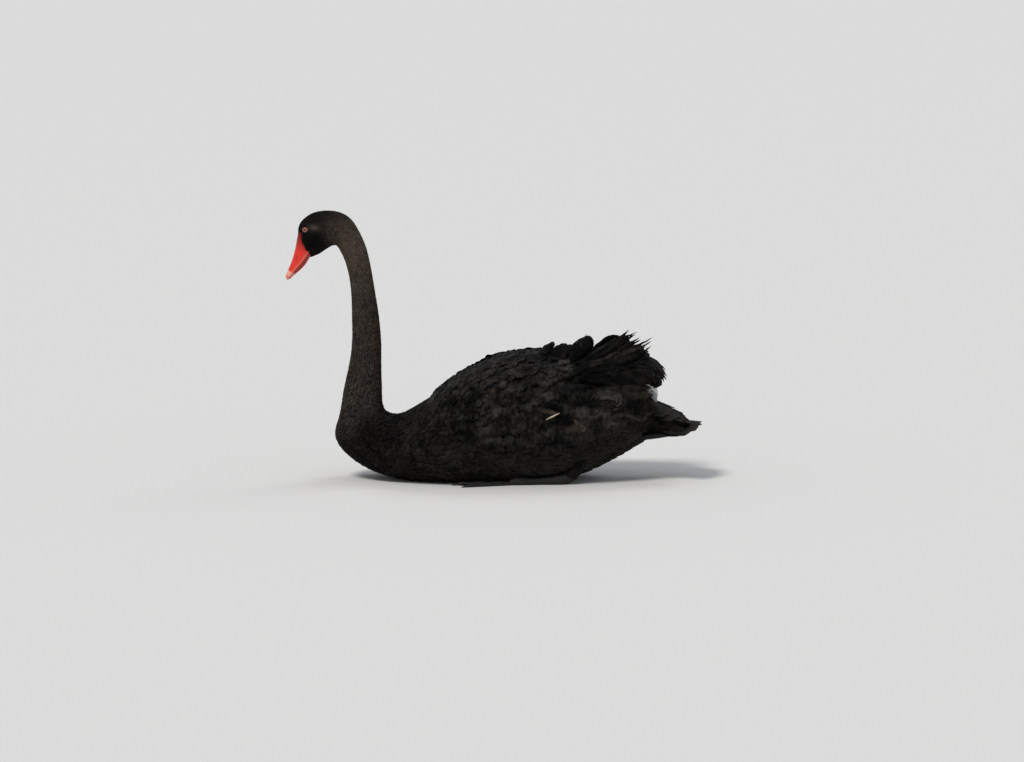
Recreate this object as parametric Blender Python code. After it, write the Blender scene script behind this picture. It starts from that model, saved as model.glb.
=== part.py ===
"""A black swan, life size and still, resting on its belly as it lies in calm water.

Metres, +Z up. The swan faces -X and its own left side is towards -Y. The origin is on the floor,
in the middle of the flat on which the belly rests. One smooth body runs from the tail root through
the trunk, neck and head to the base of the bill. It is parted with thin gaps into the named nodes.
"""

import math
import random

import bmesh
import bpy
import numpy as np
from mathutils import Matrix, Vector

GAP = 0.0003
SIDES = {"left": -1.0, "right": 1.0}

# Sections of the body from the tail root to the base of the bill. Each is a flat slice that holds
# its dorsal point and its ventral point, with: x and z of the dorsal point, x and z of the ventral
# point, half width, share of the way down at which it is widest, fullness of its lower half.
TRUNK_SECTIONS = {
    "tail root": (0.296, 0.138, 0.296, 0.082, 0.040, 0.50, 2.0),
    "rump": (0.262, 0.160, 0.262, 0.060, 0.064, 0.50, 2.0),
    "vent": (0.220, 0.184, 0.220, 0.036, 0.088, 0.50, 2.1),
    "thighs": (0.170, 0.203, 0.170, 0.013, 0.110, 0.50, 2.3),
    "hips": (0.110, 0.216, 0.110, -0.001, 0.125, 0.50, 2.5),
    "loins": (0.050, 0.217, 0.050, -0.006, 0.133, 0.50, 2.5),
    "middle back": (-0.010, 0.203, -0.010, -0.007, 0.135, 0.50, 2.5),
    "wing roots": (-0.065, 0.173, -0.065, -0.006, 0.130, 0.48, 2.5),
    "shoulders": (-0.115, 0.140, -0.115, -0.004, 0.117, 0.46, 2.4),
    "collar": (-0.152, 0.119, -0.156, 0.001, 0.100, 0.46, 2.3),
    "crop": (-0.172, 0.1145, -0.208, 0.014, 0.084, 0.48, 2.2),
    "breast": (-0.183, 0.118, -0.253, 0.040, 0.068, 0.50, 2.0),
    "breast front": (-0.1925, 0.126, -0.279, 0.076, 0.056, 0.50, 2.0),
}
NECK_SECTIONS = {
    "neck root": (-0.1955, 0.142, -0.274, 0.108, 0.047, 0.50, 2.0),
    "neck base": (-0.196, 0.165, -0.266, 0.152, 0.0390, 0.50, 2.0),
    "lower neck": (-0.197, 0.202, -0.256, 0.200, 0.0315, 0.50, 2.0),
    "middle neck": (-0.197, 0.239, -0.250, 0.239, 0.0270, 0.50, 2.0),
    "upper neck": (-0.202, 0.300, -0.2495, 0.300, 0.0245, 0.50, 2.0),
    "slim neck": (-0.210, 0.350, -0.252, 0.350, 0.0230, 0.50, 2.0),
    "neck top": (-0.218, 0.395, -0.263, 0.397, 0.0225, 0.50, 2.0),
}
HEAD_SECTIONS = {
    "first vertebra": (-0.226, 0.424, -0.271, 0.413, 0.0225, 0.50, 2.0),
    "nape": (-0.238, 0.450, -0.2755, 0.4195, 0.0220, 0.50, 2.0),
    "back of skull": (-0.253, 0.471, -0.279, 0.4215, 0.0218, 0.50, 2.0),
    "back of crown": (-0.274, 0.482, -0.284, 0.421, 0.0215, 0.50, 2.1),
    "crown": (-0.299, 0.484, -0.2915, 0.417, 0.0213, 0.50, 2.1),
    "temples": (-0.320, 0.4795, -0.300, 0.4115, 0.0200, 0.48, 2.1),
    "brow": (-0.335, 0.4697, -0.308, 0.4062, 0.0180, 0.46, 2.1),
    "forehead": (-0.3430, 0.4595, -0.3165, 0.4025, 0.0160, 0.46, 2.1),
    "bill base": (-0.3463, 0.447, -0.3245, 0.3995, 0.0142, 0.50, 2.1),
}
SECTIONS = {**TRUNK_SECTIONS, **NECK_SECTIONS, **HEAD_SECTIONS}
BACK_FULLNESS = 2.1

# Rings and points of a ring on each length of the body.
TRUNK_RINGS, TRUNK_SIDES = 22, 24
NECK_RINGS, NECK_SIDES = 9, 16
HEAD_RINGS, HEAD_SIDES = 19, 20

# The bill is drawn in its own plane: u runs from the middle of its base to the tip, v upwards.
BILL_BASE = (-0.3355, 0.420)
BILL_TIP = (-0.3665, 0.360)
# Distance along the bill, culmen, tomium, underside and half width.
BILL_SECTIONS = (
    (-0.0230, 0.0212, -0.0040, -0.0120, 0.0125),
    (-0.0130, 0.0188, -0.0110, -0.0190, 0.0144),
    (0.0100, 0.0120, -0.0120, -0.0190, 0.0145),
    (0.0250, 0.0085, -0.0100, -0.0180, 0.0136),
    (0.0420, 0.0062, -0.0058, -0.0135, 0.0132),
    (0.0560, 0.0055, -0.0030, -0.0080, 0.0118),
    (0.0640, 0.0028, -0.0020, -0.0048, 0.0080),
    (0.0680, -0.0006, -0.0016, -0.0026, 0.0022),
)
BILL_RINGS = 11
MANDIBLE_START = 0.004
NOSTRIL = {"u": 0.024, "v": 0.0025, "length": 0.0085, "height": 0.0030, "depth": 0.0035}

EYE_PLACE = (-0.3334, 0.4512)
EYE_RADIUS = 0.0056
EYE_OUT = 0.0020
LID_RADIUS = 0.0042
LID_THICKNESS = 0.0009
LID_SPOKES, LID_SIDES = 11, 5

# The folded wing is a shell over the flank, between two edges given as angles from the middle of
# the back, at shares of the way from the wrist to the rear.
WING_FRONT, WING_REAR = -0.112, 0.284
WING_SHARES = (0.0, 0.12, 0.35, 0.60, 0.85, 1.0)
WING_UPPER_EDGE = (42.0, 12.0, 6.0, 5.0, 8.0, 14.0)
WING_LOWER_EDGE = (64.0, 88.0, 100.0, 102.0, 96.0, 84.0)
WING_RIM, WING_DEPTH = 0.004, 0.0135
WING_SUNK = 0.010
WING_ROWS, WING_COLUMNS = 15, 8

# Coverts lie on the front of the wing in tiers, each over the roots of the next. Lengths are in
# metres, places are shares of the wing's length and height, and lifts are heights over its mass.
COVERT_TIERS, COVERT_ROWS = 5, 4
COVERT_START, COVERT_STEP = 0.015, 0.120
COVERT_LENGTH, COVERT_WIDTH = 0.070, 0.050
COVERT_LIFT = 0.0048
COVERT_LOW, COVERT_BAND = 0.12, 0.76
# The long secondaries of the rear, from the lowest up: back, up, length, width, drop in degrees.
SECONDARIES = (
    (0.52, 0.14, 0.150, 0.044, -2.0),
    (0.54, 0.31, 0.155, 0.046, 0.0),
    (0.58, 0.48, 0.150, 0.046, 2.0),
    (0.62, 0.65, 0.135, 0.046, 5.0),
)
SECONDARY_LIFT, SECONDARY_STEP = 0.0085, 0.0006
# A vane: shares of its length at which it has points, thickness at root and tip, depth of its root
# and, along its middle, depth of its underside.
VANE_SHARES = (0.0, 0.50, 0.82, 1.0)
VANE_ROOT, VANE_TIP = 0.0016, 0.0008
VANE_ROOT_DEPTH, VANE_SUNK = 0.0030, -0.0022
WING_LENGTH, WING_HEIGHT = 0.405, 0.215

# Free plumes of the ruffle, over the rear of the back: a path of x, distance from the midline and
# height, then the width, then the way the face looks (back, out and up).
PLUMES = {
    "bump": (
        ((0.070, 0.050, 0.214), (0.096, 0.044, 0.233), (0.114, 0.040, 0.240)),
        0.024,
        (0.2, 0.6, 0.7),
    ),
    "first sail": (
        ((0.100, 0.060, 0.190), (0.135, 0.054, 0.222), (0.163, 0.046, 0.241), (0.182, 0.040, 0.240)),
        0.037,
        (-0.3, 0.85, 0.4),
    ),
    "tall tip": (
        ((0.150, 0.060, 0.186), (0.195, 0.050, 0.221), (0.228, 0.040, 0.243), (0.253, 0.034, 0.264)),
        0.036,
        (-0.3, 0.85, 0.4),
    ),
    "second tip": (
        ((0.165, 0.068, 0.180), (0.210, 0.060, 0.212), (0.243, 0.052, 0.236), (0.268, 0.048, 0.255)),
        0.036,
        (-0.3, 0.85, 0.4),
    ),
    "rear point": (
        ((0.180, 0.070, 0.176), (0.225, 0.064, 0.205), (0.260, 0.058, 0.230), (0.287, 0.054, 0.245)),
        0.034,
        (-0.3, 0.85, 0.45),
    ),
    "inner sail": (
        ((0.150, 0.040, 0.200), (0.195, 0.030, 0.228), (0.225, 0.022, 0.241), (0.248, 0.018, 0.250)),
        0.032,
        (-0.2, 0.8, 0.5),
    ),
    "inner rear": (
        ((0.185, 0.036, 0.190), (0.230, 0.026, 0.214), (0.262, 0.020, 0.226), (0.286, 0.018, 0.222)),
        0.034,
        (0.1, 0.6, 0.75),
    ),
    "drooping": (
        (
            (0.205, 0.058, 0.176),
            (0.250, 0.052, 0.206),
            (0.282, 0.046, 0.214),
            (0.302, 0.042, 0.203),
            (0.308, 0.040, 0.184),
        ),
        0.034,
        (0.3, 0.6, 0.7),
    ),
    "outer droop": (
        (
            (0.190, 0.080, 0.166),
            (0.235, 0.076, 0.192),
            (0.268, 0.068, 0.200),
            (0.292, 0.060, 0.190),
            (0.302, 0.056, 0.172),
        ),
        0.036,
        (0.2, 0.8, 0.5),
    ),
    "outer sail": (
        ((0.130, 0.086, 0.168), (0.170, 0.084, 0.196), (0.205, 0.076, 0.210), (0.236, 0.068, 0.210)),
        0.040,
        (0.0, 0.85, 0.5),
    ),
    "curled covert": (
        (
            (0.150, 0.113, 0.136),
            (0.180, 0.116, 0.158),
            (0.212, 0.110, 0.162),
            (0.236, 0.100, 0.150),
            (0.244, 0.094, 0.134),
        ),
        0.038,
        (0.1, 0.95, 0.3),
    ),
    "low curl": (
        ((0.196, 0.108, 0.118), (0.228, 0.103, 0.132), (0.258, 0.090, 0.132), (0.280, 0.078, 0.120)),
        0.032,
        (0.1, 0.95, 0.25),
    ),
}
PLUME_CUP = 0.3
PLUME_RIPPLE = 0.0015
# The tips of the primaries, low behind each wing: ends of the middle one, spread and width.
PRIMARIES = 4
PRIMARY_ROOT, PRIMARY_TIP = (0.190, 0.088, 0.152), (0.306, 0.046, 0.150)
PRIMARY_SPREAD, PRIMARY_WIDTH = 0.034, 0.024
# The plumes on the bird's right stand a little lower, as the camera looks down on that side.
RUFFLE_RISE = {-1.0: 0.004, 1.0: -0.005}
RUFFLE_FOOT, RUFFLE_HEIGHT = 0.15, 0.06
# The mass under the ruffle: x, distance from the midline, half width, top and bottom.
RUFFLE_LOBE = (
    (0.080, 0.052, 0.020, 0.220, 0.185),
    (0.140, 0.052, 0.024, 0.222, 0.176),
    (0.195, 0.050, 0.025, 0.218, 0.168),
    (0.240, 0.048, 0.020, 0.205, 0.165),
    (0.266, 0.046, 0.008, 0.190, 0.170),
)

# The tail's fan: number of feathers, half its spread in degrees, length, width and fall of each.
RECTRICES = {"count": 8, "spread": 36.0, "length": 0.085, "width": 0.032, "fall": 4.0}
UPPER_COVERTS = {"count": 5, "spread": 30.0, "length": 0.056, "width": 0.034, "fall": 21.0}
UNDER_COVERTS = {"count": 3, "spread": 26.0, "length": 0.066, "width": 0.034, "fall": -4.0}
# Place of the roots of each, x and z, and the step in height from a feather to the next one out.
TAIL_ROOTS = {
    "rectrices": (0.2975, 0.108, 0.0017),
    "upper": (0.2965, 0.132, 0.0022),
    "under": (0.2965, 0.0885, -0.0020),
}
TAIL_HALF_WIDTH = 0.030
TAIL_DOME, TAIL_SAG = 0.006, 0.006
# The tail's mass: x, half width, top and bottom.
TAIL_STATIONS = (
    (0.29615, 0.040, 0.136, 0.083),
    (0.312, 0.043, 0.126, 0.084),
    (0.328, 0.036, 0.114, 0.089),
    (0.340, 0.020, 0.106, 0.095),
)

# The leg, folded forward under the flank: x, distance from the midline, height and radius.
SHANK = (
    (0.168, 0.078, 0.052, 0.0105),
    (0.154, 0.081, 0.030, 0.0100),
    (0.142, 0.084, 0.014, 0.0095),
    (0.126, 0.087, 0.0088, 0.0090),
    (0.100, 0.090, 0.0068, 0.0070),
    (0.066, 0.093, 0.0064, 0.0068),
    (0.044, 0.094, 0.0066, 0.0078),
    (0.034, 0.0945, 0.0050, 0.0060),
)
TOE_JOINT = (0.046, 0.094)
# Tip of each toe from the inner to the outer, and its radius.
TOE_TIPS = (((-0.046, 0.070), 0.0040), ((-0.070, 0.100), 0.0044), ((-0.052, 0.128), 0.0040))
HIND_TOE = ((0.066, 0.078), 0.0036)
WEB_THICKNESS = 0.0022
WEB_SCALLOP = 0.14

NECK_NODES = ("neck_lower", "neck_middle", "neck_upper")
NECK_BORDERS = ("neck root", "lower neck", "upper neck", "first vertebra")

# Colour and roughness of each kind of surface.
PLUMAGE = ((0.035, 0.032, 0.030), 0.7)
NECK_PLUMAGE = ((0.055, 0.050, 0.046), 0.8)
WING_PLUMAGE = ((0.045, 0.041, 0.038), 0.65)
HORN = ((0.62, 0.07, 0.04), 0.3)
IRIS = ((0.45, 0.05, 0.03), 0.05)
BLACK_SKIN = ((0.03, 0.03, 0.03), 0.5)


def spline(knots, values, places):
    """The natural cubic spline through values at knots, read at each place."""
    knots = np.asarray(knots, float)
    values = np.asarray(values, float)
    places = np.clip(np.asarray(places, float), knots[0], knots[-1])
    step = np.diff(knots)
    slope = np.diff(values, axis=0) / step[:, None]
    count = len(knots)
    matrix = np.eye(count)
    right = np.zeros_like(values)
    for i in range(1, count - 1):
        matrix[i, i - 1 : i + 2] = step[i - 1], 2 * (step[i - 1] + step[i]), step[i]
        right[i] = 6 * (slope[i] - slope[i - 1])
    bend = np.linalg.solve(matrix, right)
    i = np.clip(np.searchsorted(knots, places, side="right") - 1, 0, count - 2)
    h = step[i][:, None]
    after = (places - knots[i])[:, None]
    before = h - after
    cubic = (bend[i] * before**3 + bend[i + 1] * after**3) / (6 * h)
    line = (values[i] / h - bend[i] * h / 6) * before
    return cubic + line + (values[i + 1] / h - bend[i + 1] * h / 6) * after


STATIONS = np.array(list(SECTIONS.values()))
MIDDLES = (STATIONS[:, 0:2] + STATIONS[:, 2:4]) / 2
ALONG = np.concatenate([[0], np.cumsum(np.linalg.norm(np.diff(MIDDLES, axis=0), axis=1))])


def station(name):
    """Distance of a named section along the body, from the tail root."""
    return ALONG[list(SECTIONS).index(name)]


def body_surface(along, angle):
    """Points of the body's outside: distance along it, and angle from the middle of the back."""
    along, angle = np.broadcast_arrays(along, angle)
    shape = along.shape
    row = spline(ALONG, STATIONS, along.ravel())
    angle = angle.ravel()
    upper = np.cos(angle) >= 0
    power = 2 / np.where(upper, BACK_FULLNESS, row[:, 6])
    height = np.abs(np.cos(angle)) ** power
    down = np.where(upper, row[:, 5] * (1 - height), row[:, 5] + (1 - row[:, 5]) * height)
    out = row[:, 4] * np.sign(np.sin(angle)) * np.abs(np.sin(angle)) ** power
    x = row[:, 0] + down * (row[:, 2] - row[:, 0])
    z = row[:, 1] + down * (row[:, 3] - row[:, 1])
    return np.stack([x, out, np.maximum(z, 0)], axis=-1).reshape(*shape, 3)


def unit(vectors):
    """Vectors made one long."""
    return vectors / np.maximum(np.linalg.norm(vectors, axis=-1, keepdims=True), 1e-12)


def body_normal(along, angle, reach=0.004, turn=0.03):
    """Outward directions at points of the body's outside."""
    ahead = body_surface(np.asarray(along) + reach, angle)
    behind = body_surface(np.asarray(along) - reach, angle)
    over = body_surface(along, np.asarray(angle) + turn)
    under = body_surface(along, np.asarray(angle) - turn)
    return unit(np.cross(over - under, ahead - behind))


def new_object(name, vertices, faces):
    """A mesh object of these vertices and faces, with its faces pointing out."""
    mesh = bpy.data.meshes.new(name)
    mesh.from_pydata([tuple(v) for v in vertices], [], faces)
    work = bmesh.new()
    work.from_mesh(mesh)
    bmesh.ops.recalc_face_normals(work, faces=work.faces)
    if work.calc_volume(signed=True) < 0:
        bmesh.ops.reverse_faces(work, faces=work.faces)
    work.to_mesh(mesh)
    work.free()
    made = bpy.data.objects.new(name, mesh)
    bpy.context.scene.collection.objects.link(made)
    return made


def loft(name, rings):
    """One closed body through rings of points, with flat ends."""
    rings = np.asarray(rings)
    count, around = rings.shape[:2]
    faces = []
    for i in range(count - 1):
        for j in range(around):
            k = (j + 1) % around
            a, b = i * around, (i + 1) * around
            faces += [(a + j, a + k, b + k), (a + j, b + k, b + j)]
    middles = [rings[0].mean(axis=0), rings[-1].mean(axis=0)]
    for ring, middle in ((0, count * around), (count - 1, count * around + 1)):
        for j in range(around):
            start = ring * around
            faces.append((start + j, start + (j + 1) % around, middle))
    return new_object(name, np.concatenate([rings.reshape(-1, 3), middles]), faces)


def body_length(name, start, end, rings, sides):
    """The part of the body between two distances along it, half a gap short at each."""
    along = np.linspace(start + GAP / 2, end - GAP / 2, rings)
    angle = np.linspace(0, 2 * math.pi, sides, endpoint=False)
    return loft(name, body_surface(along[:, None], angle[None, :]))


def finished(made, changed):
    """The object with its mesh changed by a function on a bmesh."""
    work = bmesh.new()
    work.from_mesh(made.data)
    changed(work)
    work.to_mesh(made.data)
    work.free()
    return made


def keep_largest(made):
    """Drops all but the largest closed surface of a mesh."""

    def drop(work):
        left = set(work.verts)
        bodies = []
        while left:
            stack = [left.pop()]
            body = set(stack)
            while stack:
                for edge in stack.pop().link_edges:
                    for vertex in edge.verts:
                        if vertex in left:
                            left.remove(vertex)
                            body.add(vertex)
                            stack.append(vertex)
            bodies.append(body)
        largest = max(bodies, key=room_of)
        loose = [v for v in work.verts if v not in largest]
        bmesh.ops.delete(work, geom=loose, context="VERTS")

    def room_of(body):
        points = np.array([v.co for v in body])
        return float(np.prod(points.max(axis=0) - points.min(axis=0)))

    return finished(made, drop)


def boolean(made, others, operation):
    """Joins or cuts an object by others in one Boolean, which is applied, and removes them."""
    tools = bpy.data.collections.new("tools")
    for other in others:
        tools.objects.link(other)
    modifier = made.modifiers.new("boolean", "BOOLEAN")
    modifier.operation = operation
    modifier.operand_type = "COLLECTION"
    modifier.collection = tools
    modifier.solver = "MANIFOLD"
    graph = bpy.context.evaluated_depsgraph_get()
    result = bpy.data.meshes.new_from_object(made.evaluated_get(graph))
    made.modifiers.clear()
    made.data = result
    for other in others:
        bpy.data.objects.remove(other)
    bpy.data.collections.remove(tools)
    return keep_largest(made)


def grown(made, by=GAP):
    """A copy of an object, larger by a gap all round, to cut its neighbour with."""
    copy = bpy.data.objects.new(made.name + "_clearance", made.data.copy())
    bpy.context.scene.collection.objects.link(copy)

    def grow(work):
        work.normal_update()
        moved = [v.co + v.normal * by * v.calc_shell_factor() for v in work.verts]
        for vertex, place in zip(work.verts, moved):
            vertex.co = place

    return finished(copy, grow)


def cut_clear(made, *neighbours):
    """Cuts an object back so that it meets its neighbours across a gap."""
    for neighbour in neighbours:
        boolean(made, [grown(neighbour)], "DIFFERENCE")
    return made


def ball(name, centre, radii, segments=18, rings=10, turn=0.0):
    """A closed ellipsoid, turned about the Y axis."""
    mesh = bpy.data.meshes.new(name)
    work = bmesh.new()
    shape = Matrix.Rotation(turn, 4, "Y") @ Matrix.Diagonal((*radii, 1))
    bmesh.ops.create_uvsphere(
        work,
        u_segments=segments,
        v_segments=rings,
        radius=1,
        matrix=Matrix.Translation(Vector(centre)) @ shape,
    )
    work.to_mesh(mesh)
    work.free()
    made = bpy.data.objects.new(name, mesh)
    bpy.context.scene.collection.objects.link(made)
    return made


def bill_point(u, v, y):
    """A point of the bill's own plane, set in the world."""
    base = np.array(BILL_BASE)
    tip = np.array(BILL_TIP)
    ahead = (tip - base) / np.linalg.norm(tip - base)
    up = np.array([ahead[1], -ahead[0]])
    x = base[0] + u * ahead[0] + v * up[0]
    z = base[1] + u * ahead[1] + v * up[1]
    return np.array([x, y, z])


def bill_row(u):
    """Culmen, tomium, underside and half width at a distance along the bill."""
    table = np.array(BILL_SECTIONS)
    return spline(table[:, 0], table[:, 1:], [u])[0]


def make_bill_upper():
    """The upper half of the bill, with an arched culmen, a flat edge and two nostrils."""
    rings = []
    around = np.linspace(0, math.pi, 9)
    for u in np.linspace(BILL_SECTIONS[0][0], BILL_SECTIONS[-1][0], BILL_RINGS):
        culmen, tomium, _, wide = bill_row(u)
        arch = [
            (wide * math.cos(a), tomium + (culmen - tomium) * math.sin(a) ** 0.9) for a in around
        ]
        floor = [(-wide * 0.5, tomium), (0.0, tomium), (wide * 0.5, tomium)]
        rings.append([bill_point(u, v, y) for y, v in arch + floor])
    made = loft("bill_upper", rings)
    turn = math.atan2(BILL_TIP[0] - BILL_BASE[0], BILL_TIP[1] - BILL_BASE[1]) + math.pi / 2
    sizes = (NOSTRIL["length"] / 2, NOSTRIL["depth"], NOSTRIL["height"] / 2)
    holes = []
    for side in SIDES.values():
        out = side * bill_row(NOSTRIL["u"])[3] * 0.93
        centre = bill_point(NOSTRIL["u"], NOSTRIL["v"], out)
        holes.append(ball("nostril", centre, sizes, 12, 8, turn))
    return boolean(made, holes, "DIFFERENCE")


def make_bill_lower():
    """The lower half of the bill, a shallow trough that closes along the tomium."""
    rings = []
    around = np.linspace(math.pi, 2 * math.pi, 7)
    for u in np.linspace(MANDIBLE_START, BILL_SECTIONS[-1][0] - 0.0025, BILL_RINGS - 3):
        _, tomium, under, wide = bill_row(u)
        top = tomium - GAP
        trough = [(wide * 0.86 * math.cos(a), top + (top - under) * math.sin(a)) for a in around]
        lid = [(wide * 0.43, top), (0.0, top), (-wide * 0.43, top)]
        rings.append([bill_point(u, v, y) for y, v in trough + lid])
    return loft("bill_lower", rings)


def eye_centre(side):
    """Centre of an eyeball, set in so that it stands a little proud of the head, and its outward way."""
    along = np.linspace(station("temples"), station("bill base"), 60)
    angle = side * np.linspace(0.4, 2.0, 60)
    net = body_surface(along[:, None], angle[None, :])
    far = np.hypot(net[..., 0] - EYE_PLACE[0], net[..., 2] - EYE_PLACE[1])
    i, j = np.unravel_index(far.argmin(), far.shape)
    out = body_normal(along[i], angle[j])
    return net[i, j] + out * (EYE_OUT - EYE_RADIUS), out


def make_eye(name, side):
    """An eyeball."""
    centre, _ = eye_centre(side)
    return ball(f"eye_{name}", centre, (EYE_RADIUS,) * 3, 14, 8)


def lid(side):
    """The rim of the eyelids, a ring round the eye."""
    centre, out = eye_centre(side)
    start = centre + out * math.sqrt(EYE_RADIUS**2 - LID_RADIUS**2)
    across = unit(np.cross(out, [0, 0, 1]))
    over = np.cross(across, out)
    rings = []
    for a in np.linspace(0, 2 * math.pi, LID_SPOKES, endpoint=False):
        spoke = across * math.cos(a) + over * math.sin(a)
        for b in np.linspace(0, 2 * math.pi, LID_SIDES, endpoint=False):
            away = LID_RADIUS + LID_THICKNESS * math.cos(b)
            rings.append(start + spoke * away + out * LID_THICKNESS * math.sin(b))
    faces = []
    for i in range(LID_SPOKES):
        here, beyond = i * LID_SIDES, (i + 1) % LID_SPOKES * LID_SIDES
        for j in range(LID_SIDES):
            k = (j + 1) % LID_SIDES
            faces.append((here + j, beyond + j, beyond + k, here + k))
    return new_object("lid", rings, faces)


def make_head(eyes, bill):
    """The head, with its eyelids, cut back round the eyes and the bill."""
    made = body_length(
        "head", station("first vertebra"), station("bill base"), HEAD_RINGS, HEAD_SIDES
    )
    boolean(made, [lid(side) for side in SIDES.values()], "UNION")
    return cut_clear(made, *eyes, *bill)


def trunk_place(x):
    """Distance along the body of the upright slice at x."""
    table = STATIONS[: len(TRUNK_SECTIONS) - 4]
    return np.interp(-np.asarray(x), -table[:, 0], ALONG[: len(table)])


def wing_surface(side, back, up, lift=0.0):
    """Points of a folded wing's outside. back runs from the wrist to the rear, up from the lower
    edge to the upper edge, and lift is the height over the shell."""
    back, up = np.broadcast_arrays(np.asarray(back, float), np.asarray(up, float))
    along = trunk_place(WING_FRONT + back * (WING_REAR - WING_FRONT))
    high = np.interp(back, WING_SHARES, WING_UPPER_EDGE)
    low = np.interp(back, WING_SHARES, WING_LOWER_EDGE)
    angle = side * np.radians(low + up * (high - low))
    return body_surface(along, angle) + body_normal(along, angle) * (
        wing_depth(back, up)[..., None] + np.asarray(lift)[..., None]
    )


def wing_depth(back, up):
    """Thickness of the folded wing's shell: thin at its rims, thickest near the top of the back."""
    front = np.sqrt(1 - (1 - np.clip(back / 0.50, 0, 1)) ** 2)
    rear = 1 - 0.45 * np.clip((back - 0.6) / 0.4, 0, 1) ** 2
    lower = np.sqrt(1 - (1 - np.clip(up / 0.25, 0, 1)) ** 2)
    upper = np.sqrt(1 - (1 - np.clip((1 - up) / 0.16, 0, 1)) ** 2)
    crown = 0.55 + 0.45 * np.clip(up / 0.75, 0, 1)
    return WING_RIM + WING_DEPTH * front * rear * lower * upper * crown


def wing_shell(name, side):
    """The mass of a folded wing, which reaches a little into the trunk to be cut back to it."""
    back = (np.linspace(0, 1, WING_ROWS) ** 1.5)[:, None]
    up = np.linspace(0, 1, WING_COLUMNS)[None, :]
    outer = wing_surface(side, back, up)
    inner = wing_surface(side, back, up, -wing_depth(back, up) - WING_SUNK)
    return loft(f"wing_{name}", np.concatenate([outer, inner[:, ::-1]], axis=1))


def vane(top, under):
    """A closed feather between two like grids of points, split into triangles alike on both faces."""
    top, under = np.asarray(top), np.asarray(under)
    rows, columns = top.shape[:2]
    grid = np.arange(rows * columns).reshape(rows, columns)
    faces = []
    for i in range(rows - 1):
        for j in range(columns - 1):
            a, b, c, d = grid[i, j], grid[i, j + 1], grid[i + 1, j + 1], grid[i + 1, j]
            faces += [(a, b, c), (a, c, d)]
    faces += [tuple(corner + grid.size for corner in face[::-1]) for face in faces]
    rim = list(grid[0, :]) + list(grid[1:, -1]) + list(grid[-1, -2::-1]) + list(grid[-2:0:-1, 0])
    for a, b in zip(rim, rim[1:] + rim[:1]):
        faces += [(b, a, a + grid.size), (b, a + grid.size, b + grid.size)]
    points = np.concatenate([top.reshape(-1, 3), under.reshape(-1, 3)])
    return new_object("vane", points, [tuple(int(corner) for corner in face) for face in faces])


def outline(share, blunt=0.35):
    """Half width of a vane along its length, as a share of its greatest."""
    start = np.clip(share / 0.3, 0, 1) ** 0.6 * 0.55 + 0.45 * np.clip(share / 0.55, 0, 1)
    end = np.sqrt(1 - (1 - blunt**2) * np.clip((share - 0.55) / 0.45, 0, 1) ** 2)
    return start * end


def wing_vane(side, back, up, length, width, drop, lift, shares=VANE_SHARES):
    """A feather that lies on the folded wing with its root in the wing's mass and its tip raised."""
    share = np.array(shares)[:, None]
    across = np.array([-1.0, 0.0, 1.0])[None, :]
    half = width / 2 * outline(share)
    ahead, down = math.cos(math.radians(drop)), math.sin(math.radians(drop))
    places = back + (share * length * ahead - across * half * down) / WING_LENGTH
    heights = up + (across * half * ahead - share * length * down) / WING_HEIGHT
    rise = lift * share**0.8 - VANE_ROOT_DEPTH * (1 - share) ** 2
    over = rise * (1 - 0.35 * across**2)
    thick = VANE_ROOT + (VANE_TIP - VANE_ROOT) * share + 0 * across
    below = np.where(share < 0.8, np.minimum(over - thick, VANE_SUNK), over - thick)
    heights, places = np.clip(heights, 0.01, 0.995), np.clip(places, 0, 1.04)
    return vane(wing_surface(side, places, heights, over), wing_surface(side, places, heights, below))


def plume(path, width, facing, cup=PLUME_CUP, rows=4, blunt=0.35, ripple=0.0):
    """A free feather along a path, with its face turned one way, cupped, and thinner to its tip."""
    path = np.asarray(path, float)
    steps = np.concatenate([[0], np.cumsum(np.linalg.norm(np.diff(path, axis=0), axis=1))])
    share = np.linspace(0, 1, rows)
    middle = spline(steps, path, share * steps[-1])
    ahead = unit(np.gradient(middle, axis=0))
    across = unit(np.cross(ahead, facing))
    face = np.cross(across, ahead)
    half = (width / 2 * outline(share, blunt))[:, None]
    thick = (VANE_ROOT + (VANE_TIP - VANE_ROOT) * share)[:, None]
    top, under = [], []
    for t in (-1.0, 0.0, 1.0):
        waves = ripple * np.sin(share * 7 + t)[:, None] * abs(t)
        line = middle + across * half * t - face * (half * cup * t * t + waves)
        top.append(line + face * thick * (0.5 if t == 0 else 0.3))
        under.append(line - face * thick * (0.5 if t == 0 else 0.3))
    return vane(np.stack(top, axis=1), np.stack(under, axis=1))


def coverts(side, draw):
    """Tiers of coverts over the front of the wing, in staggered rows."""
    made = []
    for tier in range(COVERT_TIERS):
        for row in range(COVERT_ROWS):
            back = COVERT_START + COVERT_STEP * tier + draw.uniform(-0.008, 0.008)
            up = COVERT_LOW + (row + 0.5 * (tier % 2)) * COVERT_BAND / COVERT_ROWS
            up += draw.uniform(-0.012, 0.012)
            size = draw.uniform(0.9, 1.1) * (0.82 if tier == 0 else 1)
            length, width = COVERT_LENGTH * size, COVERT_WIDTH * size
            drop = 6 - 12 * up + draw.uniform(-5, 5)
            made.append(wing_vane(side, back, up, length, width, drop, COVERT_LIFT))
    return made


def secondaries(side, draw):
    """The long feathers of the wing's rear, each over the one above it."""
    made = []
    for i, (back, up, length, width, drop) in enumerate(SECONDARIES):
        turned = drop + draw.uniform(-3, 3)
        lift = SECONDARY_LIFT - SECONDARY_STEP * i
        made.append(wing_vane(side, back, up, length, width, turned, lift))
    return made


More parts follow.
